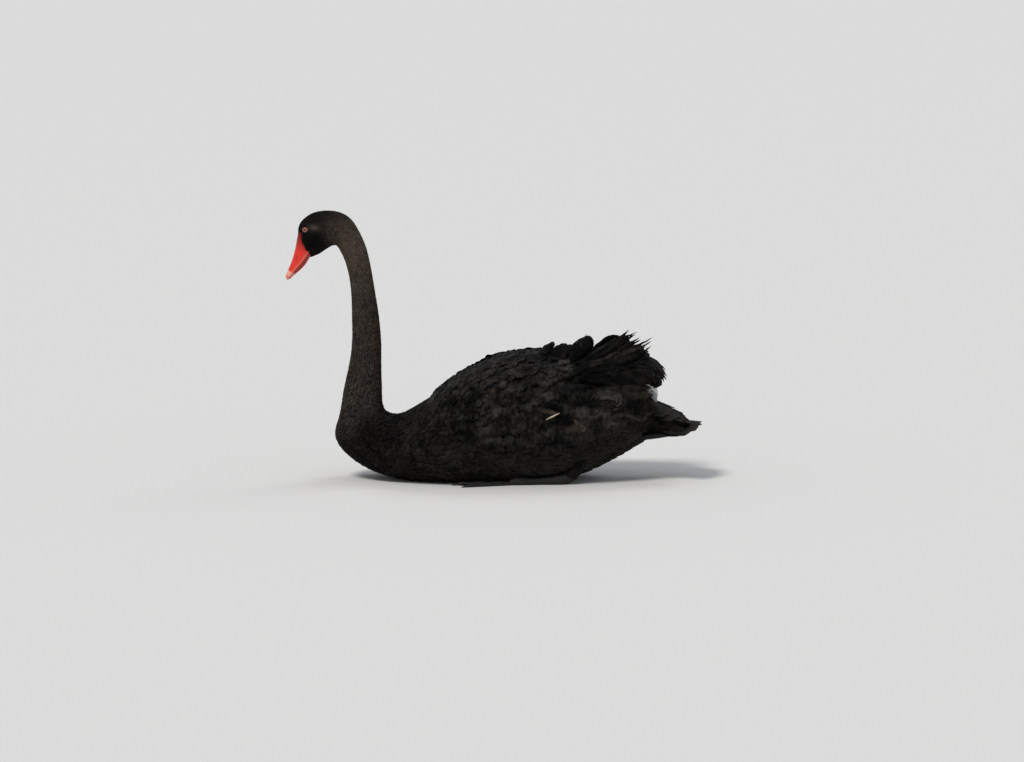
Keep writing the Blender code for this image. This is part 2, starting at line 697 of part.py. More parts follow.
def ruffle(side, draw):
    """The curled feathers that stand over the rear of the back."""
    made = []
    for path, width, facing in PLUMES.values():
        points = np.array(path) * (1, side, 1)
        high = np.clip((points[:, 2] - RUFFLE_FOOT) / RUFFLE_HEIGHT, 0, 1)
        points[:, 2] += RUFFLE_RISE[side] * high + draw.uniform(-0.0015, 0.0015)
        points[:, 0] += draw.uniform(-0.002, 0.002)
        turned = np.array(facing) * (1, side, 1)
        made.append(plume(points, width, turned, rows=len(path) + 1, ripple=PLUME_RIPPLE))
    return made


def primaries(side, draw):
    """The tips of the white primaries, crossed low behind the wing."""
    made = []
    for i in range(PRIMARIES):
        share = i / (PRIMARIES - 1) - 0.5
        root = np.array(PRIMARY_ROOT) + (0, 0.004 * share, 0.4 * PRIMARY_SPREAD * share)
        tip = np.array(PRIMARY_TIP) + (-0.010 * abs(share), 0.008 * share, PRIMARY_SPREAD * share)
        middle = (root + tip) / 2 + (0, 0.006, 0.004 + draw.uniform(-0.001, 0.001))
        path = [(p[0], side * p[1], p[2]) for p in (root, middle, tip)]
        made.append(plume(path, PRIMARY_WIDTH, (0.2, side, 0.3), 0.2, blunt=0.5))
    return made


def fan(place, feathers, draw):
    """A fan of feathers over or under the tail, each a step lower than the next one in."""
    made = []
    x, z, lay = TAIL_ROOTS[place]
    over = math.copysign(1, lay)
    count, length = feathers["count"], feathers["length"]
    fall = math.tan(math.radians(feathers["fall"]))
    for i in range(count):
        share = 2 * i / (count - 1) - 1
        angle = math.radians(feathers["spread"]) * share
        reach = length * (1 - 0.10 * share * share) * draw.uniform(0.97, 1.02)
        height = z - lay * abs(share) * (count - 1) / 2
        path = []
        for step in (0.0, 0.5, 1.0):
            dome = TAIL_DOME * share * share * (0.4 + 0.6 * step) - TAIL_SAG * step * (1 - step)
            back = reach * math.cos(angle) * step
            aside = TAIL_HALF_WIDTH * share + reach * math.sin(angle) * step
            path.append((x + back, aside, height - fall * reach * step - dome * over))
        made.append(plume(path, feathers["width"], (0.1, 0.45 * share, over), 0.12, blunt=0.5))
    return made


def lobes(name, side, stations):
    """A smooth plain form through upright ovals, each given as x, y, half width, top and bottom."""
    around = np.linspace(0, 2 * math.pi, 10, endpoint=False)
    rings = []
    for x, y, wide, top, bottom in stations:
        middle, tall = (top + bottom) / 2, (top - bottom) / 2
        rings.append([(x, side * (y + wide * math.sin(a)), middle + tall * math.cos(a)) for a in around])
    return loft(name, rings)


def make_wing(name, side, trunk):
    """A folded wing: its mass, with the vanes of its coverts, secondaries, ruffle and primaries."""
    draw = random.Random(f"wing {name}")
    made = wing_shell(name, side)
    pieces = [lobes("ruffle", side, RUFFLE_LOBE)]
    for grow in (coverts, secondaries, ruffle, primaries):
        pieces += grow(side, draw)
    boolean(made, pieces, "UNION")
    return cut_clear(made, trunk)


def make_tail():
    """The tail: a short wedge behind the trunk, with its feathers and coverts as a fan of vanes."""
    draw = random.Random("tail")
    rings = []
    around = np.linspace(0, 2 * math.pi, 16, endpoint=False)
    for x, wide, top, bottom in TAIL_STATIONS:
        middle, tall = (top + bottom) / 2, (top - bottom) / 2
        rings.append([(x, wide * math.sin(a), middle + tall * math.cos(a)) for a in around])
    made = loft("tail", rings)
    pieces = fan("rectrices", RECTRICES, draw)
    pieces += fan("upper", UPPER_COVERTS, draw)
    pieces += fan("under", UNDER_COVERTS, draw)
    return boolean(made, pieces, "UNION")


def limb(name, stations, sides=10):
    """A round limb through stations, each a place and a radius, which is flat where it meets the floor."""
    places = np.array([place for place, _ in stations], float)
    along = unit(np.gradient(places, axis=0))
    rings = []
    for (place, radius), ahead in zip(stations, along):
        out = unit(np.cross(ahead, [0, 1, 0]) if abs(ahead[1]) < 0.8 else np.cross(ahead, [0, 0, 1]))
        other = np.cross(out, ahead)
        turns = np.linspace(0, 2 * math.pi, sides, endpoint=False)
        ring = [np.array(place) + radius * (math.cos(a) * out + math.sin(a) * other) for a in turns]
        rings.append([(p[0], p[1], max(p[2], 0.0)) for p in ring])
    return loft(name, rings)


def make_web(side):
    """The web between the toes, with a scalloped front edge."""
    edge = []
    for (start, _), (end, _) in zip(TOE_TIPS, TOE_TIPS[1:]):
        a, b = np.array(start), np.array(end)
        heel = np.array(TOE_JOINT)
        edge += [a + (heel - a) * 0.06, (a + b) / 2 + (heel - (a + b) / 2) * WEB_SCALLOP]
    edge.append(np.array(TOE_TIPS[-1][0]) + (np.array(TOE_JOINT) - TOE_TIPS[-1][0]) * 0.06)
    border = [np.array(TOE_JOINT)] + edge
    rings = [[(p[0], side * p[1], z) for p in border] for z in (0.0, WEB_THICKNESS)]
    return loft("web", rings)


def make_leg(name, side):
    """A leg folded under the body: the hock, the tarsus and the webbed toes, flat on the floor."""
    shank = [((x, side * y, z), radius) for x, y, z, radius in SHANK]
    made = limb(f"leg_{name}", shank, 8)
    toes = []
    heel = np.array(TOE_JOINT)
    for (tip, radius) in TOE_TIPS + (HIND_TOE,):
        tip = np.array(tip)
        stations = []
        for share, thick in ((-0.04, 0.9), (0.34, 0.95), (0.66, 0.85), (0.90, 0.62), (1.0, 0.25)):
            place = heel + (tip - heel) * share
            size = radius * thick
            stations.append(((place[0], side * place[1], size * 0.72), size))
        toes.append(limb("toe", stations, 6))
    return boolean(made, toes + [make_web(side)], "UNION")


def finish(made, colour, roughness):
    """Gives a node its own material."""
    surface = bpy.data.materials.new(made.name)
    surface.use_nodes = True
    shader = surface.node_tree.nodes["Principled BSDF"]
    shader.inputs["Base Color"].default_value = (*colour, 1)
    shader.inputs["Roughness"].default_value = roughness
    made.data.materials.clear()
    made.data.materials.append(surface)


def clear_scene():
    """Removes what the scene holds."""
    for old in list(bpy.data.objects):
        bpy.data.objects.remove(old)


def main():
    clear_scene()
    torso = body_length("torso", station("tail root"), station("neck root"), TRUNK_RINGS, TRUNK_SIDES)
    wings = [make_wing(name, side, torso) for name, side in SIDES.items()]
    legs = [make_leg(name, side) for name, side in SIDES.items()]
    cut_clear(torso, *legs)
    necks = []
    for name, (start, end) in zip(NECK_NODES, zip(NECK_BORDERS, NECK_BORDERS[1:])):
        necks.append(body_length(name, station(start), station(end), NECK_RINGS, NECK_SIDES))
    eyes = [make_eye(name, side) for name, side in SIDES.items()]
    bill = [cut_clear(make_bill_upper(), *eyes), make_bill_lower()]
    head = make_head(eyes, bill)
    tail = make_tail()
    for nodes, look in (
        ([torso], PLUMAGE),
        (necks + [head], NECK_PLUMAGE),
        (wings + [tail], WING_PLUMAGE),
        (bill, HORN),
        (eyes, IRIS),
        (legs, BLACK_SKIN),
    ):
        for node in nodes:
            finish(node, *look)


main()
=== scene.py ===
"""The looks of a black swan, life size and still, resting on its belly with its feet tucked under.

One skin holds the trunk, neck and head together. Over it lie feathers of solid mesh: small ones on
the body, neck and head, tiers of coverts on the folded wings, curled plumes over the rump, the white
tips of the primaries and the tail's fan. Metres, +Z up, the swan faces -X.
"""

import math

import bpy
import numpy as np
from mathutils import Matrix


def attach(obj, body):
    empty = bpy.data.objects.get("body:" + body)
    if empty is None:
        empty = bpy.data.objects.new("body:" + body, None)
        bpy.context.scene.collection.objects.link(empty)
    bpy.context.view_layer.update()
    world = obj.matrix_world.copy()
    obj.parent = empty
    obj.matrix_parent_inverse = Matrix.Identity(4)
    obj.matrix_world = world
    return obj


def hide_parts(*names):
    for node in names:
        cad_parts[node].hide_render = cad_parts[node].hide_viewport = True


bl_info = {
    "name": "Black Swan",
    "version": (1, 0, 0),
    "blender": (4, 5, 0),
    "location": "3D View > Sidebar > Swan",
    "description": "Builds a still, life-size black swan over its packed frame",
    "category": "Add Mesh",
}

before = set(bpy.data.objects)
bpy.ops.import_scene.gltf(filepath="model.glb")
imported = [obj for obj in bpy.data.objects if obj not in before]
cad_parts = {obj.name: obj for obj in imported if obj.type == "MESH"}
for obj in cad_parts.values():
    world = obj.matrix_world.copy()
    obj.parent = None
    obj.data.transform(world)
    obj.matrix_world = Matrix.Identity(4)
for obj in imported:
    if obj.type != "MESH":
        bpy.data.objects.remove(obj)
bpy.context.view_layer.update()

SIDES = {"left": -1.0, "right": 1.0}

# Sections of the body from the tail root to the base of the bill, as in the solids. Each holds x and
# z of its dorsal point, x and z of its ventral point, its half width, the share of the way down at
# which it is widest, and the fullness of its lower half.
TRUNK_SECTIONS = {
    "tail root": (0.296, 0.138, 0.296, 0.082, 0.040, 0.50, 2.0),
    "rump": (0.262, 0.160, 0.262, 0.060, 0.064, 0.50, 2.0),
    "vent": (0.220, 0.184, 0.220, 0.036, 0.088, 0.50, 2.1),
    "thighs": (0.170, 0.203, 0.170, 0.013, 0.110, 0.50, 2.3),
    "hips": (0.110, 0.216, 0.110, -0.001, 0.125, 0.50, 2.5),
    "loins": (0.050, 0.217, 0.050, -0.006, 0.133, 0.50, 2.5),
    "middle back": (-0.010, 0.203, -0.010, -0.007, 0.135, 0.50, 2.5),
    "wing roots": (-0.065, 0.173, -0.065, -0.006, 0.130, 0.48, 2.5),
    "shoulders": (-0.115, 0.140, -0.115, -0.004, 0.117, 0.46, 2.4),
    "collar": (-0.152, 0.119, -0.156, 0.001, 0.100, 0.46, 2.3),
    "crop": (-0.172, 0.1145, -0.208, 0.014, 0.084, 0.48, 2.2),
    "breast": (-0.183, 0.118, -0.253, 0.040, 0.068, 0.50, 2.0),
    "breast front": (-0.1925, 0.126, -0.279, 0.076, 0.056, 0.50, 2.0),
}
NECK_SECTIONS = {
    "neck root": (-0.1955, 0.142, -0.274, 0.108, 0.047, 0.50, 2.0),
    "neck base": (-0.196, 0.165, -0.266, 0.152, 0.0390, 0.50, 2.0),
    "lower neck": (-0.197, 0.202, -0.256, 0.200, 0.0315, 0.50, 2.0),
    "middle neck": (-0.197, 0.239, -0.250, 0.239, 0.0270, 0.50, 2.0),
    "upper neck": (-0.202, 0.300, -0.2495, 0.300, 0.0245, 0.50, 2.0),
    "slim neck": (-0.210, 0.350, -0.252, 0.350, 0.0230, 0.50, 2.0),
    "neck top": (-0.218, 0.395, -0.263, 0.397, 0.0225, 0.50, 2.0),
}
HEAD_SECTIONS = {
    "first vertebra": (-0.226, 0.424, -0.271, 0.413, 0.0225, 0.50, 2.0),
    "nape": (-0.238, 0.450, -0.2755, 0.4195, 0.0220, 0.50, 2.0),
    "back of skull": (-0.253, 0.471, -0.279, 0.4215, 0.0218, 0.50, 2.0),
    "back of crown": (-0.274, 0.482, -0.284, 0.421, 0.0215, 0.50, 2.1),
    "crown": (-0.299, 0.484, -0.2915, 0.417, 0.0213, 0.50, 2.1),
    "temples": (-0.320, 0.4795, -0.300, 0.4115, 0.0200, 0.48, 2.1),
    "brow": (-0.335, 0.4697, -0.308, 0.4062, 0.0180, 0.46, 2.1),
    "forehead": (-0.3430, 0.4595, -0.3165, 0.4025, 0.0160, 0.46, 2.1),
    "bill base": (-0.3463, 0.447, -0.3245, 0.3995, 0.0142, 0.50, 2.1),
}
SECTIONS = {**TRUNK_SECTIONS, **NECK_SECTIONS, **HEAD_SECTIONS}
BACK_FULLNESS = 2.1

# The bill's own plane: u runs from the middle of its base to the tip, v upwards.
BILL_BASE = (-0.3355, 0.420)
BILL_TIP = (-0.3665, 0.360)
# Distance along the bill, culmen, tomium, underside and half width.
BILL_SECTIONS = (
    (-0.0230, 0.0212, -0.0040, -0.0120, 0.0125),
    (-0.0130, 0.0188, -0.0110, -0.0190, 0.0144),
    (0.0100, 0.0120, -0.0120, -0.0190, 0.0145),
    (0.0250, 0.0085, -0.0100, -0.0180, 0.0136),
    (0.0420, 0.0062, -0.0058, -0.0135, 0.0132),
    (0.0560, 0.0055, -0.0030, -0.0080, 0.0118),
    (0.0640, 0.0028, -0.0020, -0.0048, 0.0080),
    (0.0680, -0.0006, -0.0016, -0.0026, 0.0022),
)
MANDIBLE_START = 0.004
NOSTRIL = {"u": 0.024, "v": 0.0025, "length": 0.0085, "height": 0.0021, "depth": 0.0016}
# The edge of the bare red skin, from the forehead to the corner of the mouth, in the bill's plane.
LORE_EDGE = (
    (-0.0120, 0.0240),
    (-0.0122, 0.0186),
    (-0.0180, 0.0180),
    (-0.0212, 0.0164),
    (-0.0134, 0.0114),
    (-0.0056, 0.0069),
    (0.0008, 0.0016),
    (0.0038, -0.0049),
    (0.0060, -0.0118),
    (0.0085, -0.0166),
)

EYE_PLACE = (-0.3334, 0.4512)
EYE_RADIUS = 0.0056
EYE_OUT = 0.0020
LID_RADIUS = 0.0042

# Feathers that stand out on the near wing: x and height of the root, length, half width, how far they
# point down in degrees, share of tan, tone, and whether it is a bare quill.
MARKED_FEATHERS = (
    (0.125, 0.1030, 0.036, 0.0105, -4.0, 0.75, 0.2, False),
    (0.121, 0.1150, 0.036, 0.0105, 20.0, 0.60, 0.1, False),
    (0.129, 0.1230, 0.036, 0.0100, 30.0, 1.00, 0.7, False),
    (0.138, 0.1090, 0.028, 0.0090, 14.0, 0.90, 0.6, False),
    (0.160, 0.0960, 0.030, 0.0065, 3.0, 0.10, -0.9, False),
    (0.104, 0.125, 0.042, 0.0100, 9.0, 0.0, 0.0, False),
    (0.076, 0.144, 0.040, 0.0050, 14.0, 0.65, 0.5, False),
    (0.086, 0.139, 0.030, 0.0034, 8.0, 0.6, 0.3, False),
    (0.082, 0.152, 0.044, 0.0062, 8.0, 0.0, -0.15, False),
    (0.0945, 0.1225, 0.0285, 0.0016, -27.0, 0.0, 1.0, True),
)

# The folded wing lies over the flank, between two edges given as angles from the middle of the back.
WING_FRONT, WING_REAR = -0.112, 0.284
WING_SHARES = (0.0, 0.12, 0.35, 0.60, 0.85, 1.0)
WING_UPPER_EDGE = (42.0, 12.0, 6.0, 5.0, 8.0, 14.0)
WING_LOWER_EDGE = (64.0, 88.0, 100.0, 102.0, 96.0, 84.0)
WING_RIM, WING_DEPTH = 0.004, 0.0135
WING_LENGTH, WING_HEIGHT = 0.405, 0.215

# Curled plumes over the rump: a path of x, distance from the midline and height, then the width and
# the way the face looks (back, out and up).
PLUMES = {
    "bump": (
        ((0.080, 0.052, 0.214), (0.099, 0.047, 0.235), (0.114, 0.044, 0.2465)),
        0.016,
        (0.2, 0.6, 0.7),
    ),
    "shoulder": (
        ((0.080, 0.056, 0.206), (0.108, 0.050, 0.224), (0.134, 0.045, 0.2345), (0.154, 0.042, 0.2355)),
        0.038,
        (-0.1, 0.7, 0.7),
    ),
    "first sail": (
        ((0.124, 0.056, 0.207), (0.148, 0.050, 0.2285), (0.168, 0.044, 0.2450), (0.1810, 0.040, 0.2560)),
        0.033,
        (-0.3, 0.85, 0.4),
    ),
    "tall tip": (
        ((0.150, 0.060, 0.186), (0.195, 0.050, 0.221), (0.224, 0.041, 0.240), (0.244, 0.036, 0.255)),
        0.036,
        (-0.3, 0.85, 0.4),
    ),
    "second tip": (
        ((0.165, 0.068, 0.180), (0.210, 0.060, 0.212), (0.238, 0.053, 0.232), (0.256, 0.050, 0.245)),
        0.036,
        (-0.3, 0.85, 0.4),
    ),
    "rear point": (
        ((0.180, 0.070, 0.176), (0.225, 0.064, 0.205), (0.255, 0.059, 0.226), (0.275, 0.055, 0.236)),
        0.034,
        (-0.3, 0.85, 0.45),
    ),
    "inner sail": (
        ((0.150, 0.040, 0.196), (0.195, 0.030, 0.222), (0.225, 0.022, 0.239), (0.248, 0.018, 0.250)),
        0.032,
        (-0.2, 0.8, 0.5),
    ),
    "inner rear": (
        ((0.185, 0.036, 0.190), (0.230, 0.026, 0.214), (0.262, 0.020, 0.226), (0.286, 0.018, 0.222)),
        0.034,
        (0.1, 0.6, 0.75),
    ),
    "drooping": (
        (
            (0.205, 0.058, 0.176),
            (0.250, 0.052, 0.206),
            (0.282, 0.046, 0.214),
            (0.302, 0.042, 0.203),
            (0.308, 0.040, 0.184),
        ),
        0.034,
        (0.3, 0.6, 0.7),
    ),
    "outer droop": (
        (
            (0.190, 0.080, 0.166),
            (0.235, 0.076, 0.192),
            (0.268, 0.068, 0.200),
            (0.292, 0.060, 0.190),
            (0.302, 0.056, 0.172),
        ),
        0.036,
        (0.2, 0.8, 0.5),
    ),
    "outer sail": (
        ((0.130, 0.086, 0.168), (0.170, 0.084, 0.196), (0.205, 0.076, 0.210), (0.236, 0.068, 0.210)),
        0.040,
        (0.0, 0.85, 0.5),
    ),
    "curled covert": (
        (
            (0.150, 0.113, 0.136),
            (0.180, 0.116, 0.158),
            (0.212, 0.110, 0.162),
            (0.236, 0.100, 0.150),
            (0.244, 0.094, 0.134),
        ),
        0.038,
        (0.1, 0.95, 0.3),
    ),
    "low curl": (
        ((0.196, 0.108, 0.118), (0.228, 0.103, 0.132), (0.258, 0.090, 0.132), (0.280, 0.078, 0.120)),
        0.032,
        (0.1, 0.95, 0.25),
    ),
}
WHOLE_PLUMES = ("bump", "shoulder", "first sail")
# The wavy plumes over the rump: between which roots they start, and where their points end.
FAN_ROOTS = (0.176, 0.068, 0.224), (0.176, 0.096, 0.184)
FAN_TIPS = (
    (0.2500, 0.040, 0.2710),
    (0.2620, 0.044, 0.2660),
    (0.2730, 0.048, 0.2610),
    (0.2910, 0.052, 0.2560),
    (0.2860, 0.056, 0.2450),
    (0.2800, 0.060, 0.2340),
    (0.2820, 0.063, 0.2250),
    (0.2800, 0.066, 0.2150),
    (0.2790, 0.069, 0.2050),
    (0.2715, 0.073, 0.1960),
    (0.2590, 0.078, 0.1900),
    (0.2450, 0.083, 0.1860),
)
# Single plumes that curl over before the fan.
FAN_CURLS = (
    ((0.178, 0.066, 0.214), (0.193, 0.059, 0.2290), (0.209, 0.052, 0.2415), (0.222, 0.048, 0.2490), (0.236, 0.046, 0.2470)),
    ((0.180, 0.076, 0.196), (0.205, 0.070, 0.214), (0.232, 0.062, 0.2220), (0.256, 0.056, 0.2120)),
    ((0.182, 0.080, 0.190), (0.210, 0.078, 0.204), (0.238, 0.070, 0.2060), (0.258, 0.064, 0.1940)),
)
# Loose points that hang from the curled feather at the rear: root and tip.
DRIPS = (
    ((0.296, 0.045, 0.204), (0.3165, 0.045, 0.1890)),
    ((0.300, 0.047, 0.198), (0.3150, 0.046, 0.1830)),
    ((0.296, 0.049, 0.192), (0.3070, 0.048, 0.1730)),
    ((0.292, 0.051, 0.192), (0.3030, 0.051, 0.1765)),
    ((0.298, 0.043, 0.196), (0.3110, 0.044, 0.1790)),
)
# Curled coverts low on the wing's rear: place, half sizes, share of each ring, width, light (how much paler, a
# painted sheen on the curl) and tan.
SWIRLS = (
    ((0.2060, 0.1115, 0.1545), (0.036, 0.019), (1.0, 0.78, 0.56, 0.34), 0.0125, 0.50, 0.0),
    ((0.2160, 0.1060, 0.1135), (0.009, 0.013), (1.0, 0.6), 0.0085, 0.15, 0.30),
    ((0.2330, 0.0970, 0.1100), (-0.007, 0.010), (1.0,), 0.0090, 0.10, 0.40),
)
RUFFLE_RISE = {-1.0: 0.004, 1.0: -0.005}
RUFFLE_FOOT, RUFFLE_HEIGHT = 0.15, 0.06
PRIMARY_ROOT, PRIMARY_TIP = (0.240, 0.066, 0.174), (0.2985, 0.049, 0.151)
PRIMARY_SPREAD = 0.016
# Dark feathers over the primaries: root and tip.
PRIMARY_COVERS = (
    ((0.212, 0.086, 0.200), (0.292, 0.058, 0.201)),
    ((0.208, 0.090, 0.193), (0.291, 0.060, 0.194)),
    ((0.205, 0.092, 0.188), (0.289, 0.063, 0.190)),
    ((0.203, 0.094, 0.181), (0.286, 0.065, 0.181)),
    ((0.200, 0.096, 0.174), (0.287, 0.066, 0.173)),
    ((0.200, 0.098, 0.167), (0.284, 0.067, 0.165)),
    ((0.200, 0.100, 0.160), (0.288, 0.068, 0.158)),
    ((0.202, 0.101, 0.153), (0.285, 0.068, 0.151)),
    ((0.206, 0.100, 0.146), (0.289, 0.068, 0.144)),
    ((0.212, 0.098, 0.138), (0.292, 0.067, 0.137)),
    ((0.216, 0.096, 0.130), (0.296, 0.066, 0.130)),
)

# The leg, folded forward under the flank: x, distance from the midline, height and radius.
SHANK = (
    (0.168, 0.078, 0.052, 0.0105),
    (0.154, 0.081, 0.030, 0.0100),
    (0.142, 0.084, 0.014, 0.0095),
    (0.126, 0.087, 0.0088, 0.0090),
    (0.100, 0.090, 0.0068, 0.0070),
    (0.066, 0.093, 0.0064, 0.0068),
    (0.044, 0.094, 0.0066, 0.0078),
    (0.034, 0.0945, 0.0050, 0.0060),
)
TOE_JOINT = (0.046, 0.094)
TOE_TIPS = (((-0.046, 0.070), 0.0040), ((-0.070, 0.100), 0.0044), ((-0.052, 0.128), 0.0040))
HIND_TOE = ((0.066, 0.078), 0.0036)
WEB_THICKNESS = 0.0022
WEB_SCALLOP = 0.14

# Depth of the plumage on each length of the body.
COAT_DEPTH = {
    "tail root": 0.004, "hips": 0.005, "shoulders": 0.005, "breast front": 0.0045, "neck base": 0.003,
    "middle neck": 0.0022, "neck top": 0.0018, "crown": 0.0011, "brow": 0.0008, "bill base": 0.0005,
}
FLOOR_CLEAR = 0.0003

# How far the plumage turns from black to grey-brown along the body.
GREY_BROWN = {
    "tail root": 0.04, "shoulders": 0.04, "crop": 0.06, "breast": 0.02, "breast front": 0.09,
    "neck root": 0.30, "neck base": 0.44, "lower neck": 0.52, "middle neck": 0.58, "slim neck": 0.75,
    "neck top": 1.0, "nape": 1.0, "back of skull": 0.95, "back of crown": 0.80, "crown": 0.60,
    "temples": 0.30, "bill base": 0.1,
}
# Paler and darker places, partly the feathers' own tone and partly painted light and shade: painted light on lit tops
# and curled feathers, painted shadow in the gaps between plumes. x, height, half widths across and up, and how much
# paler.
SIDE_TONE_AND_PAINTED_LIGHT = (
    (0.131, 0.216, 0.015, 0.018, 0.75),
    (0.098, 0.218, 0.014, 0.014, -0.55),
    (0.165, 0.216, 0.013, 0.015, -1.3),
    (0.166, 0.184, 0.016, 0.022, -0.9),
    (0.206, 0.191, 0.040, 0.008, -0.9),
    (0.208, 0.158, 0.034, 0.018, 0.95),
    (0.030, 0.200, 0.050, 0.016, 0.35),
    (0.101, 0.168, 0.016, 0.013, 0.40),
    (0.075, 0.160, 0.030, 0.020, 0.15),
    (0.060, 0.185, 0.016, 0.014, -0.5),
    (0.010, 0.145, 0.028, 0.020, 0.25),
    (0.225, 0.112, 0.048, 0.017, 0.85),
    (0.192, 0.136, 0.018, 0.008, 0.6),
    (0.045, 0.130, 0.020, 0.010, -0.35),
    (-0.050, 0.120, 0.030, 0.030, -0.3),
    (0.260, 0.118, 0.030, 0.014, 0.30),
)
TAN_SPOTS = {
    -1.0: (
        (0.002, 0.173, 0.006, 0.006, 0.7), (0.228, 0.112, 0.010, 0.010, 0.35), (0.010, 0.088, 0.022, 0.006, 0.3),
        (0.060, 0.205, 0.008, 0.005, 0.4), (0.277, 0.160, 0.006, 0.012, 0.5),
    ),
    1.0: ((0.060, 0.130, 0.016, 0.006, 0.7), (0.170, 0.110, 0.014, 0.010, 0.6), (-0.020, 0.100, 0.012, 0.006, 0.5)),
}


def spline(knots, values, places):
    """The natural cubic spline through values at knots, read at each place."""
    knots = np.asarray(knots, float)
    values = np.asarray(values, float)
    places = np.clip(np.asarray(places, float), knots[0], knots[-1])
    step = np.diff(knots)
    slope = np.diff(values, axis=0) / step[:, None]
    count = len(knots)
    matrix = np.eye(count)
    right = np.zeros_like(values)
    for i in range(1, count - 1):
        matrix[i, i - 1 : i + 2] = step[i - 1], 2 * (step[i - 1] + step[i]), step[i]
        right[i] = 6 * (slope[i] - slope[i - 1])
    bend = np.linalg.solve(matrix, right)
    i = np.clip(np.searchsorted(knots, places, side="right") - 1, 0, count - 2)
    h = step[i][:, None]
    after = (places - knots[i])[:, None]
    before = h - after
    cubic = (bend[i] * before**3 + bend[i + 1] * after**3) / (6 * h)
    line = (values[i] / h - bend[i] * h / 6) * before
    return cubic + line + (values[i + 1] / h - bend[i + 1] * h / 6) * after


STATIONS = np.array(list(SECTIONS.values()))
MIDDLES = (STATIONS[:, 0:2] + STATIONS[:, 2:4]) / 2
ALONG = np.concatenate([[0], np.cumsum(np.linalg.norm(np.diff(MIDDLES, axis=0), axis=1))])


def station(name):
    """Distance of a named section along the body, from the tail root."""
    return ALONG[list(SECTIONS).index(name)]


def by_station(table, along):
    """A value given at some named sections, read at distances along the body."""
    return np.interp(along, [station(name) for name in table], list(table.values()))


def body_surface(along, angle):
    """Points of the body's outside: distance along it, and angle from the middle of the back."""
    along, angle = np.broadcast_arrays(along, angle)
    shape = along.shape
    row = spline(ALONG, STATIONS, along.ravel())
    angle = angle.ravel()
    upper = np.cos(angle) >= 0
    power = 2 / np.where(upper, BACK_FULLNESS, row[:, 6])
    height = np.abs(np.cos(angle)) ** power
    down = np.where(upper, row[:, 5] * (1 - height), row[:, 5] + (1 - row[:, 5]) * height)
    out = row[:, 4] * np.sign(np.sin(angle)) * np.abs(np.sin(angle)) ** power
    x = row[:, 0] + down * (row[:, 2] - row[:, 0])
    z = row[:, 1] + down * (row[:, 3] - row[:, 1])
    return np.stack([x, out, np.maximum(z, 0)], axis=-1).reshape(*shape, 3)


def unit(vectors):
    """Vectors made one long."""
    return vectors / np.maximum(np.linalg.norm(vectors, axis=-1, keepdims=True), 1e-12)


def body_normal(along, angle, reach=0.004, turn=0.03):
    """Outward directions at points of the body's outside."""
    ahead = body_surface(np.asarray(along) + reach, angle)
    behind = body_surface(np.asarray(along) - reach, angle)
    over = body_surface(along, np.asarray(angle) + turn)
    under = body_surface(along, np.asarray(angle) - turn)
    return unit(np.cross(over - under, ahead - behind))


def trunk_place(x):
    """Distance along the body of the upright slice at x."""
    table = STATIONS[: len(TRUNK_SECTIONS) - 4]
    return np.interp(-np.asarray(x), -table[:, 0], ALONG[: len(table)])


def wing_depth(back, up):
    """Thickness of the folded wing's shell: thin at its rims, thickest near the top of the back."""
    front = np.sqrt(1 - (1 - np.clip(back / 0.50, 0, 1)) ** 2)
    rear = 1 - 0.45 * np.clip((back - 0.6) / 0.4, 0, 1) ** 2
    lower = np.sqrt(1 - (1 - np.clip(up / 0.25, 0, 1)) ** 2)
    upper = np.sqrt(1 - (1 - np.clip((1 - up) / 0.16, 0, 1)) ** 2)
    crown = 0.55 + 0.45 * np.clip(up / 0.75, 0, 1)
    return WING_RIM + WING_DEPTH * front * rear * lower * upper * crown


def wing_surface(side, back, up, lift=0.0):
    """Points of a folded wing's outside, and its outward directions. back runs from the wrist to the
    rear, up from the lower edge to the upper edge, and lift is the height over the shell."""
    back, up = np.broadcast_arrays(np.asarray(back, float), np.asarray(up, float))
    along = trunk_place(WING_FRONT + back * (WING_REAR - WING_FRONT))
    high = np.interp(back, WING_SHARES, WING_UPPER_EDGE)
    low = np.interp(back, WING_SHARES, WING_LOWER_EDGE)
    angle = side * np.radians(low + up * (high - low))
    out = body_normal(along, angle)
    depth = wing_depth(np.clip(back, 0, 1), np.clip(up, 0, 1)) + lift
    return body_surface(along, angle) + out * depth[..., None], out


def bill_axes():
    """The bill's directions towards its tip and upwards, in x and z."""
    ahead = np.subtract(BILL_TIP, BILL_BASE)
    ahead = ahead / np.linalg.norm(ahead)
    return ahead, np.array([ahead[1], -ahead[0]])


def bill_point(u, v, y):
    """Points of the bill's own plane, set in the world."""
    ahead, up = bill_axes()
    x = BILL_BASE[0] + u * ahead[0] + v * up[0]
    z = BILL_BASE[1] + u * ahead[1] + v * up[1]
    return np.stack(np.broadcast_arrays(x, y, z), axis=-1)


def in_bill_plane(points):
    """Where points lie in the bill's own plane: along it and up."""
    ahead, up = bill_axes()
    off = points[..., [0, 2]] - np.array(BILL_BASE)
    return off @ ahead, off @ up


def bill_row(u):
    """Culmen, tomium, underside and half width at distances along the bill."""
    table = np.array(BILL_SECTIONS)
    return spline(table[:, 0], table[:, 1:], np.atleast_1d(u)).T


def bill_side(u, around):
    """Points of the upper bill's outside: distance along it, and turn from one edge of the mouth over
    the culmen to the other. It draws in under the feathers at its root."""
    u, around = np.broadcast_arrays(u, around)
    culmen, tomium, _, wide = (value.reshape(u.shape) for value in bill_row(u.ravel()))
    v = tomium + (culmen - tomium) * np.sin(around) ** 0.9
    across = np.cos(around) * wide
    bare = bareness(bill_point(u, v, across), 0.003)
    return bill_point(u, v, across * (0.80 + 0.20 * bare))


